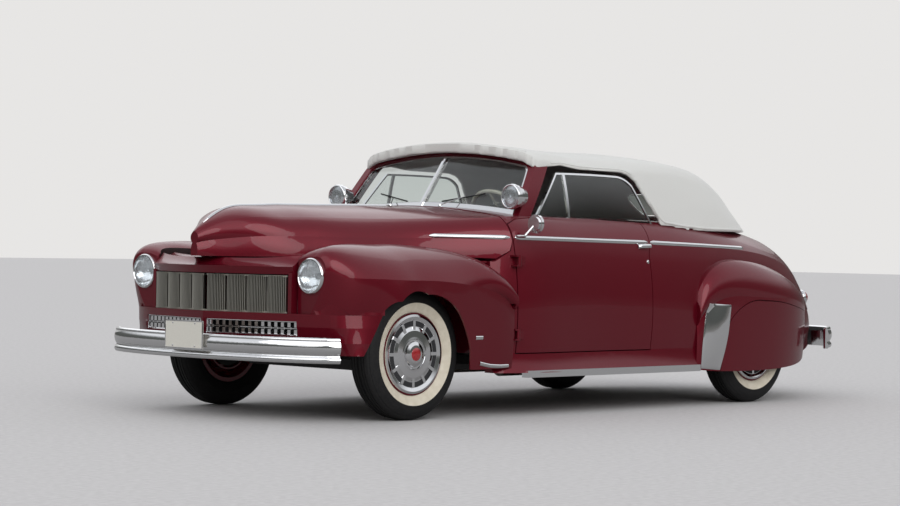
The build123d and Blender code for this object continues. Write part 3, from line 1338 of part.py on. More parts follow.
def main():
    shell = make_shell()
    save("body_shell", shell)
    save("hood", make_hood())
    fender = make_front_fender()
    rear_fender, skirt = make_rear_fender()
    door = one_solid(cut(common(body_outer, door_block(0)), body_inner, cockpit))
    barrels, bores = hinge_barrels()
    door = one_solid(cut(fuse(door, *barrels), *bores))
    window_frame, panes = make_door_glass()
    for side, name in ((LEFT, "left"), (RIGHT, "right")):
        save(f"front_fender_{name}", side_of(fender, side))
        save(f"rear_fender_{name}", side_of(rear_fender, side))
        save(f"door_{name}", side_of(door, side))
        save(f"door_window_frame_{name}", side_of(window_frame, side))
        save(f"door_glass_{name}", side_of(panes, side))
        save(f"knuckle_{name}", make_knuckle(side))
        for end, x, track in (("front", 0, FRONT_TRACK), ("rear", WHEELBASE, REAR_TRACK)):
            y = side * track / 2
            save(f"tyre_{end}_{name}", make_tyre(x, y, side))
            save(f"wheel_{end}_{name}", make_wheel(x, y, side))
            save(f"wheel_cover_{end}_{name}", make_cover(x, y, side))
    surround, frame, glass = make_windshield()
    save("windshield_surround", surround)
    save("windshield_frame", frame)
    save("windshield_glass", glass)
    save("soft_top", one_solid(cut(make_soft_top(), surround)))
    save("rear_window", make_rear_window())
    save("fender_skirts", Compound(solids_in(skirt, mirrored(skirt))))
    save("spotlights", pair(make_spotlight, surround, frame, glass))
    save("headlamps", pair(make_headlamp))
    save("tail_lamps", pair(make_tail_lamp))
    save("rocker_strips", pair(make_rocker_strip))
    save("front_aprons", pair(make_apron))
    save("lower_grille", pair(make_teeth))
    lid_room = box(LID_FRONT_X, TAIL_X, -LID_HALF_W, LID_HALF_W, LID_LOW_Z, 1300)
    save("trunk_lid", one_solid(cut(common(body_outer, lid_room), body_inner)))
    save("front_pan", make_front_pan())
    save("grille_header", make_header())
    save("grille", make_grille())
    irons = []
    for name, table, low_z, front in (("front", FRONT_BUMPER, FRONT_BLADE_Z, True),
                                      ("rear", REAR_BUMPER, REAR_BLADE_Z, False)):
        bumper = make_bumper(table, low_z, front)
        save(f"{name}_bumper", bumper)
        irons += make_bumper_irons(front)
    save("bumper_irons", Compound(irons))
    save("number_plate", make_plate())
    save("door_mirror", make_mirror())
    save("chassis_frame", make_frame())
    save("front_axle", make_front_axle())
    save("rear_axle", make_rear_axle())
    save("springs", Compound(solids_in(make_front_spring(), make_rear_spring())))
    save("front_seat", make_front_seat())
    save("rear_seat", make_rear_seat())
    save("dashboard", make_dashboard())
    save("steering_column", make_column())
    save("steering_wheel", make_steering_wheel())
    save("engine_block", make_engine())
    save("radiator", make_radiator())
    save("exhaust", make_exhaust())
    save("fuel_tank", make_tank())


main()
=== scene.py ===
"""A two-door convertible of the late 1940s with its soft top up.

Metres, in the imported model's frame: +X towards the tail, +Y to the car's right,
+Z up from the ground. The front axle stands at x = -1.663.
"""
import math

import bpy
from mathutils import Matrix, Vector, noise


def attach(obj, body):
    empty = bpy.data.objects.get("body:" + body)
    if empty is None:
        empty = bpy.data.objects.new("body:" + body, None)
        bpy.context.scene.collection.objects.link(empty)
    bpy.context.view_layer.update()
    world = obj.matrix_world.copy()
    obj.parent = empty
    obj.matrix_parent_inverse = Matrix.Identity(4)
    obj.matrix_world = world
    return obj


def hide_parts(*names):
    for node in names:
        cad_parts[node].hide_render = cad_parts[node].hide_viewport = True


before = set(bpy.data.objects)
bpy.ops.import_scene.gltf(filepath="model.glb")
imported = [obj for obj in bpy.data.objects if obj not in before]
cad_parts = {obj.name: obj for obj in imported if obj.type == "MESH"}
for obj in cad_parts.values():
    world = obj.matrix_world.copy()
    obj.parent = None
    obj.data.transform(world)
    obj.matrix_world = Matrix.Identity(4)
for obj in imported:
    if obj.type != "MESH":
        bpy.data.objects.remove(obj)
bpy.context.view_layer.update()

# Camera
# Stands a little below the belt line off the left front corner, some fifteen
# metres from the car's middle, with a long lens, as in the photograph.
yaw, pitch, roll = 0.7560, -0.0034, 0.0183
ahead = Vector((math.cos(pitch) * math.cos(yaw), math.cos(pitch) * math.sin(yaw), math.sin(pitch)))
level = ahead.cross(Vector((0, 0, 1))).normalized()
lift = level.cross(ahead)
to_right = math.cos(roll) * level + math.sin(roll) * lift
to_top = -math.sin(roll) * level + math.cos(roll) * lift
camera = bpy.data.objects.new("camera", bpy.data.cameras.new("camera"))
camera.data.lens = 99.26
camera.data.sensor_fit = "HORIZONTAL"
camera.matrix_world = Matrix.Translation((-11.161, -10.012, 0.943)) @ Matrix(
    (to_right, to_top, -ahead)).transposed().to_4x4()
bpy.context.scene.collection.objects.link(camera)
bpy.context.scene.camera = camera
bpy.context.scene.view_settings.view_transform = "Standard"

# Light and floor
# Broad soft lights from the left, the front and behind, with a pale floor and a pale
# backdrop, as on a dull bright day. What the paint mirrors is darker: the floor turns
# grey, and a dark band stands over the horizon as trees would.


def soft_sun(name, come_from, spread, strength):
    """A wide light whose rays come from the given direction."""
    lamp = bpy.data.objects.new(name, bpy.data.lights.new(name, "SUN"))
    lamp.data.angle = math.radians(spread)
    lamp.data.energy = strength
    lamp.rotation_euler = Vector(come_from).to_track_quat("Z", "Y").to_euler()
    bpy.context.scene.collection.objects.link(lamp)


soft_sun("left_light", (-0.42, -1.0, 0.62), 50, 1.35)
soft_sun("front_light", (-1.0, -0.12, 0.75), 60, 0.55)
soft_sun("rear_light", (0.7, 0.9, 0.8), 70, 0.45)

world = bpy.data.worlds.new("pale_sky")
bpy.context.scene.world = world
world.use_nodes = True
sky = world.node_tree
sky_colour = sky.nodes["Background"]
sky_colour.inputs["Strength"].default_value = 1.0
where = sky.nodes.new("ShaderNodeTexCoord")
height = sky.nodes.new("ShaderNodeSeparateXYZ")
bands = sky.nodes.new("ShaderNodeValToRGB")
bands.color_ramp.elements[0].position = 0.49
bands.color_ramp.elements[0].color = (0.24, 0.23, 0.22, 1)
bands.color_ramp.elements[1].position = 0.52
bands.color_ramp.elements[1].color = (0.08, 0.085, 0.08, 1)
for place, tone in ((0.60, (0.12, 0.125, 0.12, 1)), (0.68, (0.85, 0.87, 0.90, 1)),
                    (1.0, (0.62, 0.64, 0.68, 1))):
    band = bands.color_ramp.elements.new(place)
    band.color = tone
shift = sky.nodes.new("ShaderNodeMapRange")
shift.inputs["From Min"].default_value = -1
shift.inputs["From Max"].default_value = 1
seen = sky.nodes.new("ShaderNodeLightPath")
pale = sky.nodes.new("ShaderNodeMix")
pale.data_type = "RGBA"
pale.inputs["B"].default_value = (0.80, 0.79, 0.78, 1)
sky.links.new(where.outputs["Generated"], height.inputs[0])
sky.links.new(height.outputs["Z"], shift.inputs["Value"])
sky.links.new(shift.outputs[0], bands.inputs["Fac"])
sky.links.new(seen.outputs["Is Camera Ray"], pale.inputs["Factor"])
sky.links.new(bands.outputs["Color"], pale.inputs["A"])
sky.links.new(pale.outputs["Result"], sky_colour.inputs["Color"])

bpy.ops.object.select_all(action="DESELECT")
bpy.ops.mesh.primitive_plane_add(size=160)
floor = bpy.context.object
floor.name = "floor"


def plain_material(name, colour, rough, metal=0.0, **sockets):
    """A Principled material whose constants stand on the shader's own sockets."""
    made = bpy.data.materials.new(name)
    made.use_nodes = True
    shader = made.node_tree.nodes["Principled BSDF"]
    shader.inputs["Base Color"].default_value = (*colour, 1)
    shader.inputs["Roughness"].default_value = rough
    shader.inputs["Metallic"].default_value = metal
    for socket, value in sockets.items():
        shader.inputs[socket.replace("_", " ")].default_value = value
    return made


def speckle_group():
    """Two tones and a fine height from noise: flake, grain, dust or cast skin."""
    group = bpy.data.node_groups.new("speckle", "ShaderNodeTree")
    group.interface.new_socket("Scale", in_out="INPUT", socket_type="NodeSocketFloat")
    group.interface.new_socket("Low", in_out="INPUT", socket_type="NodeSocketFloat")
    group.interface.new_socket("High", in_out="INPUT", socket_type="NodeSocketFloat")
    group.interface.new_socket("Value", in_out="OUTPUT", socket_type="NodeSocketFloat")
    group.interface.new_socket("Height", in_out="OUTPUT", socket_type="NodeSocketFloat")
    enter = group.nodes.new("NodeGroupInput")
    leave = group.nodes.new("NodeGroupOutput")
    place = group.nodes.new("ShaderNodeTexCoord")
    grain = group.nodes.new("ShaderNodeTexNoise")
    grain.inputs["Detail"].default_value = 4
    spread = group.nodes.new("ShaderNodeMapRange")
    group.links.new(place.outputs["Object"], grain.inputs["Vector"])
    group.links.new(enter.outputs["Scale"], grain.inputs["Scale"])
    group.links.new(grain.outputs["Fac"], spread.inputs["Value"])
    group.links.new(enter.outputs["Low"], spread.inputs["To Min"])
    group.links.new(enter.outputs["High"], spread.inputs["To Max"])
    group.links.new(spread.outputs[0], leave.inputs["Value"])
    group.links.new(grain.outputs["Fac"], leave.inputs["Height"])
    return group


speckle = speckle_group()


def speckled(material, scale, rough=None, tones=None, bump=0.0, depth=0.001):
    """Give a material the speckle in its roughness, its colour or its relief."""
    tree = material.node_tree
    shader = tree.nodes["Principled BSDF"]
    grain = tree.nodes.new("ShaderNodeGroup")
    grain.node_tree = speckle
    grain.inputs["Scale"].default_value = scale
    low, high = rough if rough else (0.0, 1.0)
    grain.inputs["Low"].default_value = low
    grain.inputs["High"].default_value = high
    if rough:
        tree.links.new(grain.outputs["Value"], shader.inputs["Roughness"])
    if tones:
        ramp = tree.nodes.new("ShaderNodeValToRGB")
        ramp.color_ramp.elements[0].position = 0.35
        ramp.color_ramp.elements[0].color = (*tones[0], 1)
        ramp.color_ramp.elements[1].position = 0.65
        ramp.color_ramp.elements[1].color = (*tones[1], 1)
        tree.links.new(grain.outputs["Height"], ramp.inputs["Fac"])
        tree.links.new(ramp.outputs["Color"], shader.inputs["Base Color"])
    if bump:
        relief = tree.nodes.new("ShaderNodeBump")
        relief.inputs["Strength"].default_value = bump
        relief.inputs["Distance"].default_value = depth
        tree.links.new(grain.outputs["Height"], relief.inputs["Height"])
        tree.links.new(relief.outputs["Normal"], shader.inputs["Normal"])
    return material


pale_floor = speckled(plain_material("pale_floor", (0.50, 0.485, 0.48), 0.85), 30,
                      tones=((0.47, 0.455, 0.45), (0.53, 0.515, 0.51)))
floor.data.materials.append(pale_floor)
tree = pale_floor.node_tree
shader = tree.nodes["Principled BSDF"]
grain_tone = shader.inputs["Base Color"].links[0].from_socket
mirrored = tree.nodes.new("ShaderNodeLightPath")
dimmer = tree.nodes.new("ShaderNodeMix")
dimmer.data_type = "RGBA"
dimmer.inputs["B"].default_value = (0.24, 0.235, 0.23, 1)
tree.links.new(mirrored.outputs["Is Glossy Ray"], dimmer.inputs["Factor"])
tree.links.new(grain_tone, dimmer.inputs["A"])
tree.links.new(dimmer.outputs["Result"], shader.inputs["Base Color"])

# Painted body
# Pressed steel panels, sprayed a deep maroon with fine metal flake and polished.
# Fenders, hood, doors, lid, header, pan and windshield surround share the paint.
maroon = speckled(
    plain_material("maroon_paint", (0.125, 0.003, 0.011), 0.36, 0.45, Specular_IOR_Level=0.15,
                   Coat_Weight=0.55, Coat_Roughness=0.03, Coat_IOR=1.5),
    900, tones=((0.110, 0.0025, 0.0095), (0.145, 0.0035, 0.013)))


def surface(material, *nodes):
    """Put a material on CAD nodes, whose shape stays as it is."""
    for node in nodes:
        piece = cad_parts[node]
        piece.data.materials.clear()
        piece.data.materials.append(material)


surface(maroon, "body_shell", "hood", "front_fender_left", "front_fender_right",
        "rear_fender_left", "rear_fender_right", "door_left", "door_right", "fender_skirts",
        "front_pan", "grille_header", "trunk_lid", "windshield_surround", "front_aprons")

# Chassis
# Welded box rails with an X in the middle, beam axle in front and banjo axle
# behind, cross springs, all in satin black; bare cast iron on the engine.
black_steel = speckled(plain_material("chassis_black", (0.02, 0.02, 0.02), 0.5), 40,
                       rough=(0.42, 0.62), tones=((0.016, 0.016, 0.016), (0.03, 0.028, 0.026)))
surface(black_steel, "chassis_frame", "front_axle", "rear_axle", "springs", "bumper_irons",
        "knuckle_left", "knuckle_right", "fuel_tank", "steering_column")
iron = speckled(plain_material("cast_iron", (0.10, 0.11, 0.10), 0.6, 0.2), 120,
                rough=(0.5, 0.75), tones=((0.07, 0.08, 0.075), (0.13, 0.14, 0.13)), bump=0.4)
surface(iron, "engine_block")
pipe_steel = speckled(plain_material("pipe_steel", (0.25, 0.23, 0.2), 0.45, 0.8), 30,
                      rough=(0.35, 0.6), tones=((0.16, 0.13, 0.1), (0.34, 0.32, 0.3)))
surface(pipe_steel, "exhaust")
core_black = speckled(plain_material("radiator_black", (0.015, 0.015, 0.016), 0.45, 0.3), 260,
                      rough=(0.35, 0.6), tones=((0.01, 0.01, 0.011), (0.03, 0.03, 0.032)), bump=0.5)
surface(core_black, "radiator")

# Tyres
# Cross-ply tyres with round shoulders, ribs in the tread and a wide cream
# sidewall moulded in on the outside.
rubber = speckled(plain_material("tyre_rubber", (0.010, 0.010, 0.011), 0.6,
                                 Specular_IOR_Level=0.3), 90,
                  rough=(0.5, 0.72), tones=((0.007, 0.007, 0.008), (0.014, 0.013, 0.013)))
white_rubber = speckled(plain_material("cream_sidewall", (0.66, 0.63, 0.53), 0.5), 26,
                        rough=(0.42, 0.6), tones=((0.58, 0.52, 0.41), (0.66, 0.60, 0.49)))


def alone(piece):
    """Select one object and make it the active one."""
    bpy.ops.object.select_all(action="DESELECT")
    piece.select_set(True)
    bpy.context.view_layer.objects.active = piece


def settle(piece, body, material, angle=35):
    """Bring a finished piece to the common origin, shade it, and hand it to a body."""
    alone(piece)
    bpy.ops.object.transform_apply(location=True, rotation=True, scale=True)
    bpy.ops.object.shade_smooth_by_angle(angle=math.radians(angle))
    piece.data.materials.clear()
    piece.data.materials.append(material)
    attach(piece, body)
    return piece


def turned(name, profile, centre, axis, steps=96):
    """A profile of (radius, along) points spun about an axis through centre."""
    centre = Vector(centre)
    axis = Vector(axis).normalized()
    out = axis.orthogonal().normalized()
    spots = [centre + axis * along + out * radius for radius, along in profile]
    bpy.ops.object.select_all(action="DESELECT")
    bpy.ops.mesh.primitive_plane_add(size=0.001, location=spots[0])
    piece = bpy.context.object
    piece.name = name
    bpy.ops.object.transform_apply(location=True)
    bpy.ops.object.mode_set(mode="EDIT")
    bpy.ops.mesh.select_all(action="SELECT")
    bpy.ops.mesh.merge(type="CENTER")
    for here, there in zip(spots, spots[1:]):
        bpy.ops.mesh.extrude_vertices_move(TRANSFORM_OT_translate={"value": there - here})
    bpy.ops.mesh.select_all(action="SELECT")
    bpy.ops.mesh.spin(steps=steps, angle=2 * math.pi, center=centre, axis=axis)
    bpy.ops.mesh.select_all(action="SELECT")
    bpy.ops.mesh.remove_doubles(threshold=1e-6)
    bpy.ops.mesh.normals_make_consistent(inside=False)
    bpy.ops.object.mode_set(mode="OBJECT")
    return piece


tyre_r, rim_r = 0.355, 0.208
front_x, front_y = -1.663, 0.735
rear_x, rear_y = 1.334, 0.762
white_depth, white_r = 0.055, rim_r + 0.0665


def tyre_profile(side):
    """Section of a tyre, from the inner bead round the tread to the outer bead."""
    half = [(rim_r + 0.002, 0.052), (rim_r + 0.0145, 0.0592), (rim_r + 0.018, 0.066),
            (rim_r + 0.028, 0.0705), (rim_r + 0.045, 0.0765), (rim_r + 0.064, 0.0830),
            (rim_r + 0.067, 0.0844), (rim_r + 0.071, 0.0844), (rim_r + 0.074, 0.0834),
            (rim_r + 0.095, 0.083), (0.318, 0.0765), (0.330, 0.0705), (0.3325, 0.0690),
            (0.3335, 0.0660), (0.340, 0.0635), (0.346, 0.0575), (0.3505, 0.0480)]
    ribs = []
    for edge in (0.0430, 0.0235, 0.0035):
        ribs += [(0.3540 - edge * 0.06, edge + 0.0035), (0.3478, edge + 0.0018),
                 (0.3478, edge - 0.0018), (0.3545 - edge * 0.05, edge - 0.0035)]
    outer = half + ribs
    inner = [(r, -d) for r, d in reversed(outer)]
    return [(r, side * d) for r, d in outer + inner + [(rim_r + 0.002, 0.052)]]


wheel_places = {
    "front_left": (front_x, -front_y, -1), "front_right": (front_x, front_y, 1),
    "rear_left": (rear_x, -rear_y, -1), "rear_right": (rear_x, rear_y, 1)}
for corner, (x, y, side) in wheel_places.items():
    tyre = turned(f"tyre_dressed_{corner}", tyre_profile(side), (x, y, tyre_r), (0, 1, 0), 112)
    settle(tyre, f"wheel_{corner}", rubber, 50)
    tyre.data.materials.append(white_rubber)
    for face in tyre.data.polygons:
        middle = face.center - Vector((x, y, tyre_r))
        if side * middle.y > white_depth and math.hypot(middle.x, middle.z) < white_r:
            face.material_index = 1
    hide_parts(f"tyre_{corner}")

# Wheels and covers
# Steel wheels in body colour behind full covers: a rolled bright rim, a ring of
# pressed fins and a raised middle with a red enamelled disc.
chrome = speckled(plain_material("chrome_plate", (0.80, 0.80, 0.81), 0.07, 1.0), 14,
                  rough=(0.05, 0.10))
red_enamel = speckled(plain_material("red_enamel", (0.32, 0.012, 0.015), 0.25, Coat_Weight=1.0),
                      60, tones=((0.28, 0.010, 0.013), (0.36, 0.015, 0.018)))
# A dark matt tone set where there is only shade: painted shade in the grooves of the wheel covers
# and behind the lower grilles.
painted_shade_black = speckled(plain_material("painted_shade_black", (0.02, 0.02, 0.022), 0.6), 80,
                       rough=(0.5, 0.7))
surface(maroon, "wheel_front_left", "wheel_front_right", "wheel_rear_left", "wheel_rear_right")
surface(chrome, "wheel_cover_front_left", "wheel_cover_front_right", "wheel_cover_rear_left",
        "wheel_cover_rear_right")


def put_on(piece, kind, **values):
    """Add a modifier with its values and apply it."""
    alone(piece)
    change = piece.modifiers.new("finish", kind)
    for key, value in values.items():
        setattr(change, key, value)
    bpy.ops.object.modifier_apply(modifier=change.name)


def block(name, low, high, edge=0.0, rounds=2):
    """A box between two corners, its edges rounded."""
    bpy.ops.object.select_all(action="DESELECT")
    middle = (Vector(low) + Vector(high)) / 2
    bpy.ops.mesh.primitive_cube_add(size=1, location=middle, scale=Vector(high) - Vector(low))
    piece = bpy.context.object
    piece.name = name
    bpy.ops.object.transform_apply(location=True, rotation=True, scale=True)
    if edge:
        put_on(piece, "BEVEL", width=edge, segments=rounds)
    return piece


for corner, (x, y, side) in wheel_places.items():
    face = 0.064
    disc = turned(f"cover_disc_{corner}",
                  [(r, side * d) for r, d in [(0, face + 0.0310), (0.014, face + 0.0303),
                                              (0.030, face + 0.0272), (0.035, face + 0.0245),
                                              (0.0355, face + 0.0200), (0, face + 0.0200)]],
                  (x, y, tyre_r), (0, 1, 0), 48)
    settle(disc, f"wheel_{corner}", red_enamel)
    # A dark ring laid on the cover's face is painted shade, for the shade in the cover's groove.
    groove_shade = turned(f"cover_shade_ring_{corner}",
                  [(r, side * d) for r, d in [(0.150, face + 0.0022), (0.150, face + 0.0030),
                                              (0.166, face + 0.0030), (0.178, face + 0.0028),
                                              (0.178, face + 0.0018)]],
                  (x, y, tyre_r), (0, 1, 0), 64)
    settle(groove_shade, f"wheel_{corner}", painted_shade_black)
    stem = block(f"valve_stem_{corner}", (x + 0.192, y + side * 0.052 - 0.004, tyre_r - 0.004),
                 (x + 0.200, y + side * 0.052 + 0.014, tyre_r + 0.004), 0.003)
    settle(stem, f"wheel_{corner}", rubber)

# Bumpers and bright trim
# Heavy chromium-plated blades, front and rear, and the mouldings of the windows
# and rockers. The grille's bars are stainless with a duller brushed face. Behind each
# lower grille stands a dark sheet of painted shade, for the shade in its opening.
surface(chrome, "front_bumper", "rear_bumper", "windshield_frame", "door_window_frame_left",
        "door_window_frame_right", "rocker_strips", "door_mirror")
grille_steel = speckled(plain_material("grille_steel", (0.62, 0.60, 0.54), 0.28, 1.0), 900,
                        rough=(0.24, 0.36))
surface(grille_steel, "grille")
surface(chrome, "lower_grille")
sheet_x, sheet_y, half_sheet, sweep = -2.40, 0.31, 0.29, 0.20
# Painted shade: a dark sheet set in the opening behind each lower grille.
for side in (-1, 1):
    shade_sheet = block("lower_grille_shade_sheet", (sheet_x, side * sheet_y - half_sheet, 0.452),
                    (sheet_x + 0.006, side * sheet_y + half_sheet, 0.528))
    for v in shade_sheet.data.vertices:
        v.co.x += sweep * abs(v.co.y) - 0.005
    settle(shade_sheet, "car_body", painted_shade_black)

# Fender fronts
# Below each headlamp the fender's pressing runs down to its seam with the pan. It is
# a thin sheet from the fender's lower edge to the side of the pan, in the same paint.


def touch(point, direction, *targets, reach=1.5):
    """Where a ray first meets a piece or a CAD node: place and normal, or nothing."""
    point, direction = Vector(point), Vector(direction).normalized()
    best = None
    for target in targets:
        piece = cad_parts[target] if isinstance(target, str) else target
        met, place, normal, _ = piece.ray_cast(point, direction, distance=reach)
        if met and (best is None or (place - point).length < (best[0] - point).length):
            best = (place, normal if normal.dot(direction) < 0 else -normal)
    return best


# Rays at the flanks start this far from the middle plane.
beside = 1.3
nose_x, apron_length, seam_z, pan_z = -2.291, 0.298, 0.567, 0.558
for side, word in ((-1, "left"), (1, "right")):
    columns, rows = 36, 6
    bpy.ops.object.select_all(action="DESELECT")
    bpy.ops.mesh.primitive_grid_add(x_subdivisions=columns, y_subdivisions=rows, size=1)
    skirt = bpy.context.object
    skirt.name = f"fender_front_{word}"
    for i in range(columns + 1):
        x = nose_x + apron_length * i / columns
        # The fender's edge rises and falls, so the ray is raised until it meets it.
        for z in (0.585, 0.60, 0.615, 0.63, 0.645, 0.66, 0.675, 0.69):
            edge = touch((x, side * beside, z), (0, -side, 0), f"front_fender_{word}", reach=0.68)
            if edge:
                break
        head = edge[0] if edge else Vector((x, side * 0.75, 0.66))
        head = Vector((x, head.y - side * 0.002, head.z + 0.004))
        pan = touch((x, side * beside, pan_z), (0, -side, 0), "front_pan", reach=0.8)
        foot_y = min(abs(pan[0].y), abs(head.y) + 0.03) * side if pan else head.y
        foot = Vector((x, foot_y, seam_z))
        for j in range(rows + 1):
            t = j / rows
            skirt.data.vertices[j * (columns + 1) + i].co = head * (1 - t) + foot * t
    put_on(skirt, "SOLIDIFY", thickness=0.0016, offset=0)
    settle(skirt, "car_body", maroon, 60)

# Number plate
# A blank pressed steel plate, painted cream, in a thin plated frame. Four
# round-headed screws hold it to its stay on the bumper.
plate_cream = speckled(plain_material("plate_cream", (0.62, 0.60, 0.54), 0.4), 220,
                       rough=(0.32, 0.5), tones=((0.58, 0.56, 0.50), (0.65, 0.63, 0.57)))
surface(plate_cream, "number_plate")


def joined(name, pieces):
    """Several pieces made into one of the given name."""
    bpy.ops.object.select_all(action="DESELECT")
    for piece in pieces:
        piece.select_set(True)
    bpy.context.view_layer.objects.active = pieces[0]
    bpy.ops.object.join()
    pieces[0].name = name
    return pieces[0]


rim_left, rim_right, rim_low, rim_high, rim_width = -0.1305, 0.1745, 0.3665, 0.5175, 0.007
rim_bars = []
for y0, z0, y1, z1 in ((rim_left, rim_low, rim_right, rim_low + rim_width),
                       (rim_left, rim_high - rim_width, rim_right, rim_high),
                       (rim_left, rim_low, rim_left + rim_width, rim_high),
                       (rim_right - rim_width, rim_low, rim_right, rim_high)):
    rim_bars.append(block("plate_rim_bar", (-2.5645, y0, z0), (-2.5595, y1, z1), 0.0015))
settle(joined("plate_rim", rim_bars), "car_body", chrome)
screws = []
for y in (-0.067, 0.111):
    for z in (0.382, 0.502):
        screws.append(turned("plate_screw", [(0, -0.0022), (0.003, -0.0020), (0.0052, -0.0008),
                                             (0.0055, 0.0), (0, 0.0)],
                             (-2.563, y, z), (1, 0, 0), 20))
settle(joined("plate_screws", screws), "car_body", chrome)

# Soft top
# Cream canvas over horsehair padding, drawn over five steel bows and tacked to
# the header and the rear deck; it sags a little between the bows.
canvas = speckled(plain_material("cream_canvas", (0.60, 0.595, 0.57), 0.9, Sheen_Weight=0.25),
                  1400, rough=(0.8, 0.95), tones=((0.56, 0.555, 0.53), (0.63, 0.625, 0.60)),
                  bump=0.35, depth=0.0006)


def soft_copy(name, node, grain, smooth):
    """A copy of a CAD node as an even mesh whose points can be moved like clay."""
    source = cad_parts[node]
    piece = source.copy()
    piece.data = source.data.copy()
    piece.name = name
    piece.parent = None
    bpy.context.scene.collection.objects.link(piece)
    alone(piece)
    bpy.ops.object.mode_set(mode="EDIT")
    bpy.ops.mesh.select_all(action="SELECT")
    bpy.ops.mesh.remove_doubles(threshold=2e-5)
    bpy.ops.mesh.normals_make_consistent(inside=False)
    bpy.ops.object.mode_set(mode="OBJECT")
    put_on(piece, "REMESH", mode="VOXEL", voxel_size=grain, adaptivity=0.0)
    put_on(piece, "SMOOTH", factor=0.5, iterations=smooth)
    return piece


bows, half_top = (-0.53, -0.04, 0.46, 0.96, 1.42), 0.62
sag, rise_x, rise_length, rise_height = 0.0045, -0.16, 0.30, 0.027
lap_x, lap_length, lap_forward, lap_down = -0.36, 0.12, 0.078, 0.034
top = soft_copy("soft_top_canvas", "soft_top", 0.0115, 5)
normals = [v.normal.copy() for v in top.data.vertices]
for v, normal in zip(top.data.vertices, normals):
    p = v.co
    span = next(((a, b) for a, b in zip(bows, bows[1:]) if a <= p.x < b), None)
    fall = 0.0
    if span:
        fall = math.sin(math.pi * (p.x - span[0]) / (span[1] - span[0])) ** 2
    middle = max(0.0, 1 - (abs(p.y) / half_top) ** 4)
    ripple = noise.noise(Vector((p.x * 3.0, p.y * 7.0, p.z * 7.0))) * 0.0022
    ripple += noise.noise(Vector((p.x * 11.0, p.y * 4.0, p.z * 9.0))) * 0.0010
    v.co = p + normal * (ripple - sag * fall * middle) * (1 if normal.z > -0.3 else 0.2)
    # In front the canvas rises over the header and laps down past its edge.
    rise = min(1.0, max(0.0, (rise_x - p.x) / rise_length))
    lap = min(1.0, max(0.0, (lap_x - p.x) / lap_length))
    v.co.z += rise_height * rise * rise * (3 - 2 * rise)
    v.co.x -= (lap_forward + 0.010 * abs(p.y)) * lap * lap * (3 - 2 * lap)
    if normal.z < 0.3:
        v.co.z -= lap_down * lap
settle(top, "car_body", canvas, 60)
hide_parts("soft_top")


def top_edge(x, side, outset=0.012):
    """The lowest place of the canvas on one side at x, and its normal."""
    core, far, half_width = Vector((x, 0, 1.02)), 1.15, 0.6
    low, high = math.radians(8), math.radians(104)
    found = None
    for _ in range(18):
        angle = (low + high) / 2
        out = Vector((0, side * math.sin(angle), math.cos(angle)))
        here = touch(core + out * far, -out, top, reach=1.1)
        if here:
            found, low = here, angle
        else:
            high = angle
    if not found:
        return None
    angle = low - outset / half_width
    out = Vector((0, side * math.sin(angle), math.cos(angle)))
    return touch(core + out * far, -out, top, reach=1.1) or found


# Seams of the soft top
# A welted seam runs back over each side of the top. A rolled bead closes the front
# edge and the edge above each door, and a hem the edge over each quarter.


def laid_strip(name, spots, width, crown, sink=0.0006, rows=6, ends=0.0):
    """A half-round moulding along a line of (place, normal) spots, width across it."""
    bpy.ops.object.select_all(action="DESELECT")
    count = len(spots)
    bpy.ops.mesh.primitive_grid_add(x_subdivisions=count - 1, y_subdivisions=rows, size=1)
    strip = bpy.context.object
    strip.name = name
    for i, (place, normal) in enumerate(spots):
        ahead_spot = spots[min(i + 1, count - 1)][0] - spots[max(i - 1, 0)][0]
        across = normal.cross(ahead_spot).normalized()
        taper = 1.0
        if ends:
            taper = min(1.0, 0.25 + min(i, count - 1 - i) / ends)
        for j in range(rows + 1):
            s = 2 * j / rows - 1
            up = crown * math.sqrt(max(0.0, 1 - s * s * 0.98)) * taper - sink
            strip.data.vertices[j * count + i].co = (
                place + across * (s * width / 2 * taper) + normal * up)
    alone(strip)
    bpy.ops.object.mode_set(mode="EDIT")
    bpy.ops.mesh.select_all(action="SELECT")
    bpy.ops.mesh.normals_make_consistent(inside=False)
    bpy.ops.object.mode_set(mode="OBJECT")
    middle = strip.data.polygons[(rows // 2) * (count - 1) + count // 2]
    if middle.normal.dot(spots[count // 2][1]) < 0:
        bpy.ops.object.mode_set(mode="EDIT")
        bpy.ops.mesh.flip_normals()
        bpy.ops.object.mode_set(mode="OBJECT")
    put_on(strip, "SOLIDIFY", thickness=crown * 0.5, offset=-1)
    return strip


def spots_hit(points, direction, *targets, reach=1.5):
    """The spots where rays from a row of points meet the targets, without the misses."""
    spots = [touch(point, direction, *targets, reach=reach) for point in points]
    return [spot for spot in spots if spot]


def eased(spots, rounds=6):
    """The same line of spots with its small jolts taken out."""
    spots = [s for s in spots if s]
    for _ in range(rounds):
        spots = [spots[0]] + [
            ((a[0] + b[0] * 2 + c[0]) / 4, (a[1] + b[1] * 2 + c[1]).normalized())
            for a, b, c in zip(spots, spots[1:], spots[2:])] + [spots[-1]]
    return spots


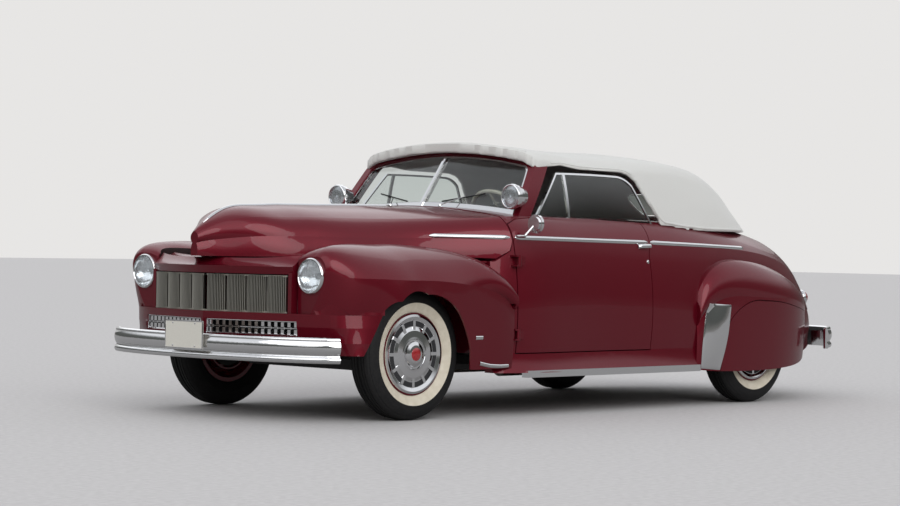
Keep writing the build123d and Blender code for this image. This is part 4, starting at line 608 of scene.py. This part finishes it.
above = 2.0
for side in (-1, 1):
    seam_line = [(-0.50 + i * 2.13 / 89, side * (0.43 - 0.02 * i / 89), above)
                 for i in range(90)]
    seam = spots_hit(seam_line, (0, 0, -1), top, reach=1.4)
    settle(laid_strip(f"top_seam_{side}", eased(seam), 0.014, 0.0022), "car_body",
           canvas, 60)
    rail = [top_edge(-0.44 + i * 0.70 / 50, side) for i in range(51)]
    settle(laid_strip(f"top_bead_{side}", eased(rail), 0.011, 0.0045), "car_body",
           canvas, 60)
    hem = [top_edge(0.40 + i * 1.26 / 70, side) for i in range(71)]
    settle(laid_strip(f"top_hem_{side}", eased(hem), 0.016, 0.006), "car_body",
           canvas, 60)
header_x, header_bow, header_half, inset = -0.629, 0.030, 0.62, 0.034
front_line = []
for i in range(61):
    y = -0.60 + i * 0.02
    front_line.append((header_x + header_bow * (y / header_half) ** 2 + inset, y, above))
front = spots_hit(front_line, (0, 0, -1), top, reach=1.2)
settle(laid_strip("top_front_bead", eased(front, 12), 0.013, 0.005), "car_body",
       canvas, 60)

# Seats
# Sprung benches trimmed in dark maroon leather. It is stitched into pleats that run
# back over the cushion and up the backrest, and each half of a bench is crowned.
leather = speckled(plain_material("maroon_leather", (0.055, 0.009, 0.014), 0.45), 420,
                   rough=(0.36, 0.55), tones=((0.045, 0.007, 0.011), (0.065, 0.012, 0.017)),
                   bump=0.35, depth=0.0006)
pleat, groove_depth, groove_width, crown_height = 0.058, 0.0085, 0.007, 0.010
for name, node, half in (("front_bench", "front_seat", 0.64), ("rear_bench", "rear_seat", 0.572)):
    bench = soft_copy(name, node, 0.0125, 4)
    normals = [v.normal.copy() for v in bench.data.vertices]
    for v, normal in zip(bench.data.vertices, normals):
        p = v.co
        if p.z < 0.45:
            continue
        across = min(1.0, max(0.0, (half - abs(p.y)) / 0.10))
        facing = max(0.0, normal.z - 0.2 * normal.x)
        crown = crown_height * (1 - (2 * abs(p.y) / half - 1) ** 2) * facing
        from_seam = abs((p.y / pleat) % 1.0 - 0.5) * pleat
        groove = 0.0
        if normal.x < 0.25 and across > 0.6:
            groove = groove_depth * math.exp(-((pleat / 2 - from_seam) / groove_width) ** 2)
        v.co = p + normal * (crown - groove)
    settle(bench, "car_body", leather, 70)
    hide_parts(node)

# Glass
# Flat laminated panes in the windshield, the doors and the rear window, held in the
# channels of their frames.
pane = plain_material("pane_glass", (0.93, 0.97, 0.95), 0.0, Transmission_Weight=1.0, IOR=1.45)
speckled(pane, 3, rough=(0.0, 0.012))
surface(pane, "windshield_glass", "door_glass_left", "door_glass_right", "rear_window")

# Headlamps
# Sealed lamps: a thin bright ring, a silvered bowl with its bulb shield and a
# domed lens of pressed glass with upright flutes.
silver = speckled(plain_material("silvered_bowl", (0.82, 0.83, 0.84), 0.12, 1.0), 30,
                  rough=(0.08, 0.16))
lens_glass = speckled(plain_material("lens_glass", (0.93, 0.96, 0.98), 0.03,
                                     Transmission_Weight=0.92, IOR=1.3), 60, rough=(0.02, 0.07))
flute_depth, half_flute, fluted_r, fluted_x = 0.0012, 0.0062, 0.078, 0.0262
for side in (-1, 1):
    at = (-2.295, side * 0.668, 0.766)
    ring = turned("headlamp_ring", [(0.0825, -0.012), (0.0850, -0.0155), (0.0895, -0.0150),
                                    (0.0935, -0.0110), (0.0955, -0.0060), (0.0955, -0.0005),
                                    (0.0840, -0.0005), (0.0825, -0.012)], at, (1, 0, 0), 96)
    settle(ring, "car_body", chrome)
    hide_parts("headlamps")
    bowl = turned("headlamp_bowl", [(0.0835, -0.004), (0.080, 0.006), (0.070, 0.024),
                                    (0.054, 0.042), (0.034, 0.055), (0.012, 0.060), (0, 0.060)],
                  at, (1, 0, 0), 72)
    put_on(bowl, "SOLIDIFY", thickness=0.0015, offset=1)
    settle(bowl, "car_body", silver, 60)
    shield = turned("bulb_shield", [(0, 0.012), (0.010, 0.014), (0.015, 0.020), (0.016, 0.028),
                                    (0.012, 0.060), (0, 0.060)], at, (1, 0, 0), 32)
    settle(shield, "car_body", silver)
    lens = turned("headlamp_lens", [(0, -0.030), (0.018, -0.0292), (0.036, -0.0266),
                                    (0.054, -0.0222), (0.070, -0.0168), (0.0832, -0.0120),
                                    (0.0832, -0.0080), (0.068, -0.0110), (0.050, -0.0165),
                                    (0.030, -0.0215), (0, -0.0245)], at, (1, 0, 0), 144)
    put_on(lens, "SUBSURF", levels=1)
    for v in lens.data.vertices:
        out = math.hypot(v.co.y - at[1], v.co.z - at[2])
        if out < fluted_r and v.co.x > at[0] - fluted_x:
            v.co.x += flute_depth * math.sin((v.co.y - at[1]) / half_flute * math.pi)
    settle(lens, "car_body", lens_glass, 60)

# Spotlights
# Bullet-shaped plated shells on stems from the windshield's pillars. Each has a
# rolled rim round a plain, slightly domed glass.
surface(chrome, "spotlights")
for side in (-1, 1):
    at = (-0.793, side * 0.700, 1.219)
    rim = turned("spot_rim", [(0.062, -0.0085), (0.0645, -0.0105), (0.069, -0.0085),
                              (0.0725, -0.001), (0.0735, 0.006), (0.070, 0.007), (0.062, 0.000)],
                 at, (1, 0, 0), 64)
    settle(rim, "car_body", chrome)
    face = turned("spot_lens", [(0, -0.0150), (0.022, -0.0142), (0.044, -0.0118), (0.0625, -0.0085),
                                (0.0625, -0.0065), (0, -0.0095)], at, (1, 0, 0), 64)
    settle(face, "car_body", lens_glass, 60)

# Door mirror
# A round silvered glass, set in the back of the plated head that stands on the left
# door.
mirror_glass = turned("mirror_glass", [(0, 0.0094), (0.046, 0.0094), (0.0475, 0.0088),
                                       (0.0475, 0.007), (0, 0.007)],
                      (-0.831, -0.925, 1.066), (1, 0, 0), 48)
settle(mirror_glass, "door_left", silver)

# Tail lamps
# Round domed lamps of red glass in plated bezels, one on each side of the lid. They
# sit on the body's slope and look back and a little outwards.
red_glass = speckled(plain_material("tail_lens_red", (0.42, 0.008, 0.008), 0.12,
                                    Transmission_Weight=0.45, Coat_Weight=1.0), 120,
                     rough=(0.08, 0.2), tones=((0.36, 0.006, 0.006), (0.48, 0.012, 0.012)))
lamp_y, lamp_z = 0.70, 0.640
for side in (-1, 1):
    spot = touch((3.0, side * lamp_y, lamp_z), (-1, -side * 0.35, 0), "body_shell", reach=1.6)
    centre, aim = spot[0] - spot[1] * 0.004, (spot[1] + Vector((1, side * 0.3, 0))).normalized()
    lens = turned("tail_lens", [(0, 0.040), (0.014, 0.038), (0.028, 0.031), (0.037, 0.021),
                                (0.041, 0.010), (0.041, -0.012), (0, -0.012)], centre, aim, 64)
    settle(lens, "car_body", red_glass, 60)
    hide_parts("tail_lamps")
    bezel = turned("tail_bezel", [(0.0405, -0.010), (0.0405, 0.0125), (0.0440, 0.0145),
                                  (0.0490, 0.0110), (0.0520, 0.0030), (0.0520, -0.010),
                                  (0.0405, -0.010)], centre, aim, 64)
    settle(bezel, "car_body", chrome)

# Side mouldings
# A plated half-round moulding runs along the belt, over the hood's flank, the door and
# the quarter. Each door has a bowed plated pull handle and a round lock below it.


def belt_run(name, body, nodes, side, x0, x1, z0, z1, count, width=0.026, crown=0.010):
    """A moulding along one flank between two places, on whatever is there."""
    points = []
    for i in range(count):
        t = i / (count - 1)
        points.append((x0 + (x1 - x0) * t, side * beside, z0 + (z1 - z0) * t))
    spots = spots_hit(points, (0, -side, 0), *nodes, reach=1.2)
    if len(spots) < 4:
        return None
    return settle(laid_strip(name, spots, width, crown, ends=2), body, chrome, 60)


pull_x, pull_step, pull_z, pull_bow = 0.170, 0.0095, 0.952, 0.020
lock_x, lock_z = 0.245, 0.863
for side, word in ((-1, "left"), (1, "right")):
    belt_run(f"belt_hood_{word}", "hood", ("hood",), side, -1.345, -0.935, 0.990, 0.989, 30)
    belt_run(f"belt_door_{word}", f"door_{word}", (f"door_{word}",), side, -0.905, 0.268, 0.989,
             0.977, 70)
    belt_run(f"belt_quarter_{word}", "car_body", ("body_shell",), side, 0.292, 1.343, 0.977,
             0.954, 70)
    pull = []
    for i in range(16):
        place = (pull_x + i * pull_step, side * beside, pull_z)
        spot = touch(place, (0, -side, 0), f"door_{word}", reach=1.2)
        if spot:
            off = pull_bow * math.sin(math.pi * i / 15) ** 0.5
            pull.append((spot[0] + spot[1] * off, spot[1]))
    handle = laid_strip(f"door_handle_{word}", pull, 0.024, 0.009)
    settle(handle, f"door_{word}", chrome, 60)
    lock = touch((lock_x, side * beside, lock_z), (0, -side, 0), f"door_{word}", reach=1.2)
    cap = turned(f"door_lock_{word}", [(0, 0.0035), (0.008, 0.0032), (0.0105, 0.0015),
                                       (0.0105, -0.001), (0, -0.001)], lock[0], lock[1], 32)
    settle(cap, f"door_{word}", chrome)

# Gravel shields
# A thin plated guard covers the lower front of each rear fender. It is pressed to
# the fender's form, swells a little in its middle and is fixed from behind. Sizes
# here count from the front axle.
low_front, low_back = Vector((2.392, 0.226)), Vector((2.545, 0.214))
high_front, high_back = Vector((2.428, 0.618)), Vector((2.630, 0.608))
edge_bow, swell_out = 0.012, 0.009
for side, word in ((-1, "left"), (1, "right")):
    rows, columns = 26, 14
    bpy.ops.object.select_all(action="DESELECT")
    bpy.ops.mesh.primitive_grid_add(x_subdivisions=columns, y_subdivisions=rows, size=1)
    guard = bpy.context.object
    guard.name = f"gravel_shield_{word}"
    last = None
    for v in guard.data.vertices:
        s, t = v.co.x + 0.5, v.co.y + 0.5
        bottom = low_front * (1 - s) + low_back * s
        upper = high_front * (1 - s) + high_back * s
        flat = bottom * (1 - t) + upper * t
        flat.x -= edge_bow * math.sin(math.pi * t) * (1 - 2 * s)
        spot = touch((flat.x + front_x, side * beside, flat.y), (0, -side, 0), f"rear_fender_{word}",
                     reach=0.8)
        if spot:
            swell = math.sin(math.pi * s) * math.sin(math.pi * t)
            v.co = spot[0] + spot[1] * 0.0012 + Vector((0, side * swell_out * swell, 0))
            last = v.co.copy()
        else:
            v.co = Vector((flat.x + front_x, last.y if last else side * 0.90, flat.y))
    put_on(guard, "SOLIDIFY", thickness=0.0022, offset=0)
    put_on(guard, "BEVEL", width=0.0008, segments=2, limit_method="ANGLE")
    settle(guard, "car_body", chrome, 60)

# Fender feet
# A plated moulding follows the foot of each front fender up to the arch. Above it,
# behind the arch, lies a small plain oblong. Both are clipped to the sheet.
foot_line = [(0.426, 0.300), (0.47, 0.292), (0.52, 0.284), (0.60, 0.280), (0.69, 0.280)]
badge_x, badge_z = 0.404, 0.44
for side, word in ((-1, "left"), (1, "right")):
    points = [(a[0] + (b[0] - a[0]) * k / 6 + front_x, side * beside, a[1] + (b[1] - a[1]) * k / 6)
              for a, b in zip(foot_line, foot_line[1:]) for k in range(6)]
    foot = spots_hit(points, (0, -side, 0), f"front_fender_{word}", reach=0.8)
    if len(foot) > 5:
        settle(laid_strip(f"fender_foot_{word}", foot, 0.020, 0.005), "car_body",
               chrome, 60)
    place = touch((badge_x + front_x, side * beside, badge_z), (0, -side, 0),
                  f"front_fender_{word}", reach=0.8)
    if place:
        points = [(place[0].x - 0.030 + k * 0.0086, side * beside, badge_z) for k in range(8)]
        small = spots_hit(points, (0, -side, 0), f"front_fender_{word}", reach=0.8)
        if len(small) > 4:
            settle(laid_strip(f"fender_badge_{word}", small, 0.020, 0.004), "car_body",
                   chrome, 60)

# Hood strip
# A plated ridge moulding lies on the middle of the hood, from the nose back, and is
# held by clips under the sheet.
ridge_x, ridge_length, ridge_count = -2.46, 1.42, 70
ridge_line = [(ridge_x + i * ridge_length / (ridge_count - 1), 0, above)
              for i in range(ridge_count)]
ridge = spots_hit(ridge_line, (0, 0, -1), "hood", reach=1.3)
settle(laid_strip("hood_strip", ridge, 0.018, 0.010, ends=3), "hood", chrome, 60)

# Wipers
# Two plated arms rise from round bosses on the cowl and carry thin rubber blades on
# the panes.


def rod_between(name, a, b, radius, vertices=20, edge=0.0):
    """A round bar from a to b."""
    a, b = Vector(a), Vector(b)
    bpy.ops.object.select_all(action="DESELECT")
    bpy.ops.mesh.primitive_cylinder_add(vertices=vertices, radius=radius, depth=(b - a).length,
                                        location=(a + b) / 2)
    bar = bpy.context.object
    bar.name = name
    bar.rotation_euler = (b - a).to_track_quat("Z", "Y").to_euler()
    bpy.ops.object.transform_apply(location=True, rotation=True, scale=True)
    if edge:
        put_on(bar, "BEVEL", width=edge, segments=2, limit_method="ANGLE")
    return bar


for side in (-1, 1):
    base = touch((-0.845, side * 0.20, 1.6), (0, 0, -1), "body_shell", "windshield_surround",
                 reach=0.7)
    tip = touch((-1.6, side * 0.42, 1.235), (1, 0, 0), "windshield_glass", reach=1.2)
    heel = touch((-1.6, side * 0.14, 1.190), (1, 0, 0), "windshield_glass", reach=1.2)
    if base and tip and heel:
        off = Vector((-0.012, 0, 0.004))
        boss = turned("wiper_boss", [(0, 0.016), (0.008, 0.015), (0.011, 0.010), (0.011, 0.0),
                                     (0, 0.0)], base[0], (0, 0, 1), 24)
        arm = rod_between("wiper_arm", base[0] + Vector((0, 0, 0.010)),
                          (tip[0] + heel[0]) / 2 + off, 0.003, 10)
        settle(joined("wiper", [boss, arm]), "car_body", chrome)
        blade = rod_between("wiper_blade", heel[0] + off * 0.5, tip[0] + off * 0.5, 0.004, 8)
        settle(blade, "car_body", rubber)

# Tail trim
# A plated bar handle in the middle of the trunk lid, carried by two short posts that
# are bolted through the sheet.
grip_out = 0.024
grip = touch((3.2, 0, 0.70), (-1, 0, 0), "trunk_lid", "body_shell", reach=1.5)
if grip:
    out = grip[1]
    bar = rod_between("trunk_grip", grip[0] + out * grip_out + Vector((0, -0.06, 0)),
                      grip[0] + out * grip_out + Vector((0, 0.06, 0)), 0.007, 20, 0.003)
    posts = [rod_between("trunk_post", grip[0] + Vector((0, y, 0)) - out * 0.002,
                         grip[0] + out * grip_out + Vector((0, y, 0)), 0.006, 16)
             for y in (-0.045, 0.045)]
    settle(joined("trunk_handle", [bar, *posts]), "trunk_lid", chrome)

# Dashboard
# A painted steel dash with a plated strip across it. Two round black gauges with
# plated rims stand before the driver.
surface(maroon, "dashboard")
dial_black = speckled(plain_material("dial_black", (0.012, 0.012, 0.013), 0.35, Coat_Weight=0.6),
                      200, rough=(0.28, 0.42))
seat_x, gauge_z, strip_z = -0.35, 0.985, 0.918
gauges = []
rims = []
for y in (-0.42, -0.28):
    at = touch((seat_x, y, gauge_z), (-1, 0, 0), "dashboard", reach=0.8)
    if at:
        gauges.append(turned("gauge", [(0, 0.004), (0.050, 0.004), (0.052, 0.0), (0, 0.0)],
                             at[0], at[1], 48))
        rims.append(turned("gauge_rim", [(0.050, 0.0), (0.051, 0.010), (0.056, 0.010),
                                         (0.058, 0.0)], at[0], at[1], 48))
settle(joined("gauges", gauges), "car_body", dial_black)
settle(joined("gauge_rims", rims), "car_body", chrome)
strip_points = [(seat_x, -0.60 + i * 0.0308, strip_z) for i in range(40)]
dash_line = spots_hit(strip_points, (-1, 0, 0), "dashboard", reach=0.8)
settle(laid_strip("dash_strip", dash_line, 0.018, 0.004), "car_body", chrome, 60)

# Steering wheel
# Ivory plastic rim and hub moulded over steel. A plated horn ring lies inside the
# rim, and a plated button closes the hub.
ivory = speckled(plain_material("ivory_plastic", (0.56, 0.52, 0.43), 0.22, Coat_Weight=0.6), 40,
                 rough=(0.16, 0.3), tones=((0.52, 0.48, 0.39), (0.60, 0.56, 0.47)))
surface(ivory, "steering_wheel")
tilt = Vector((math.cos(math.radians(40)), 0, math.sin(math.radians(40))))
hub = Vector((-0.467, -0.360, 1.088))
horn = turned("horn_ring", [(0.117, 0.010), (0.120, 0.014), (0.124, 0.010), (0.120, 0.006),
                            (0.117, 0.010)], hub, tilt, 64)
settle(horn, "steering_wheel", chrome)
button = turned("horn_button", [(0, 0.026), (0.016, 0.024), (0.026, 0.019), (0.029, 0.014),
                                (0, 0.014)], hub, tilt, 40)
settle(button, "steering_wheel", chrome)

# Door trim
# Inside each door a plated line runs along the panel, and below it stands the window
# winder: a boss, an arm and a round knob, all plated.
for side, word in ((-1, "left"), (1, "right")):
    points = [(-0.70 + i * 0.022, 0, 0.80) for i in range(40)]
    inner = spots_hit(points, (0, side, 0), f"door_{word}", reach=1.0)
    if len(inner) > 5:
        settle(laid_strip(f"door_line_{word}", inner, 0.014, 0.003), f"door_{word}",
               chrome, 60)
    at = touch((-0.22, 0, 0.74), (0, side, 0), f"door_{word}", reach=1.0)
    if at:
        crank = [turned("winder", [(0, 0.024), (0.013, 0.022), (0.016, 0.012), (0.022, 0.004),
                                   (0.022, -0.001), (0, -0.001)], at[0], at[1], 28)]
        tip = at[0] + at[1] * 0.022 + Vector((-0.075, 0, -0.030))
        crank.append(rod_between("winder_arm", at[0] + at[1] * 0.019, tip, 0.0055, 14))
        crank.append(rod_between("winder_knob", tip, tip + at[1] * 0.030, 0.009, 16, 0.002))
        settle(joined(f"winder_{word}", crank), f"door_{word}", chrome)

# Pedals
# Two broad pedals and a narrower throttle. Each is a plain rubber pad on a round rod
# of black steel that comes through the toe board.
pad_x, pad_low, pad_high, pad_lean = -0.815, 0.455, 0.52, -0.5
for y, width in ((-0.46, 0.07), (-0.34, 0.07), (-0.24, 0.045)):
    pad = block("pedal", (pad_x, y - width / 2, pad_low),
                (pad_x + 0.012, y + width / 2, pad_high), 0.004)
    for v in pad.data.vertices:
        v.co.x += (v.co.z - pad_low) * pad_lean
    settle(pad, "car_body", rubber)
    settle(rod_between("pedal_arm", (pad_x, y, 0.47), (-0.885, y, 0.55), 0.006, 12),
           "car_body", black_steel)
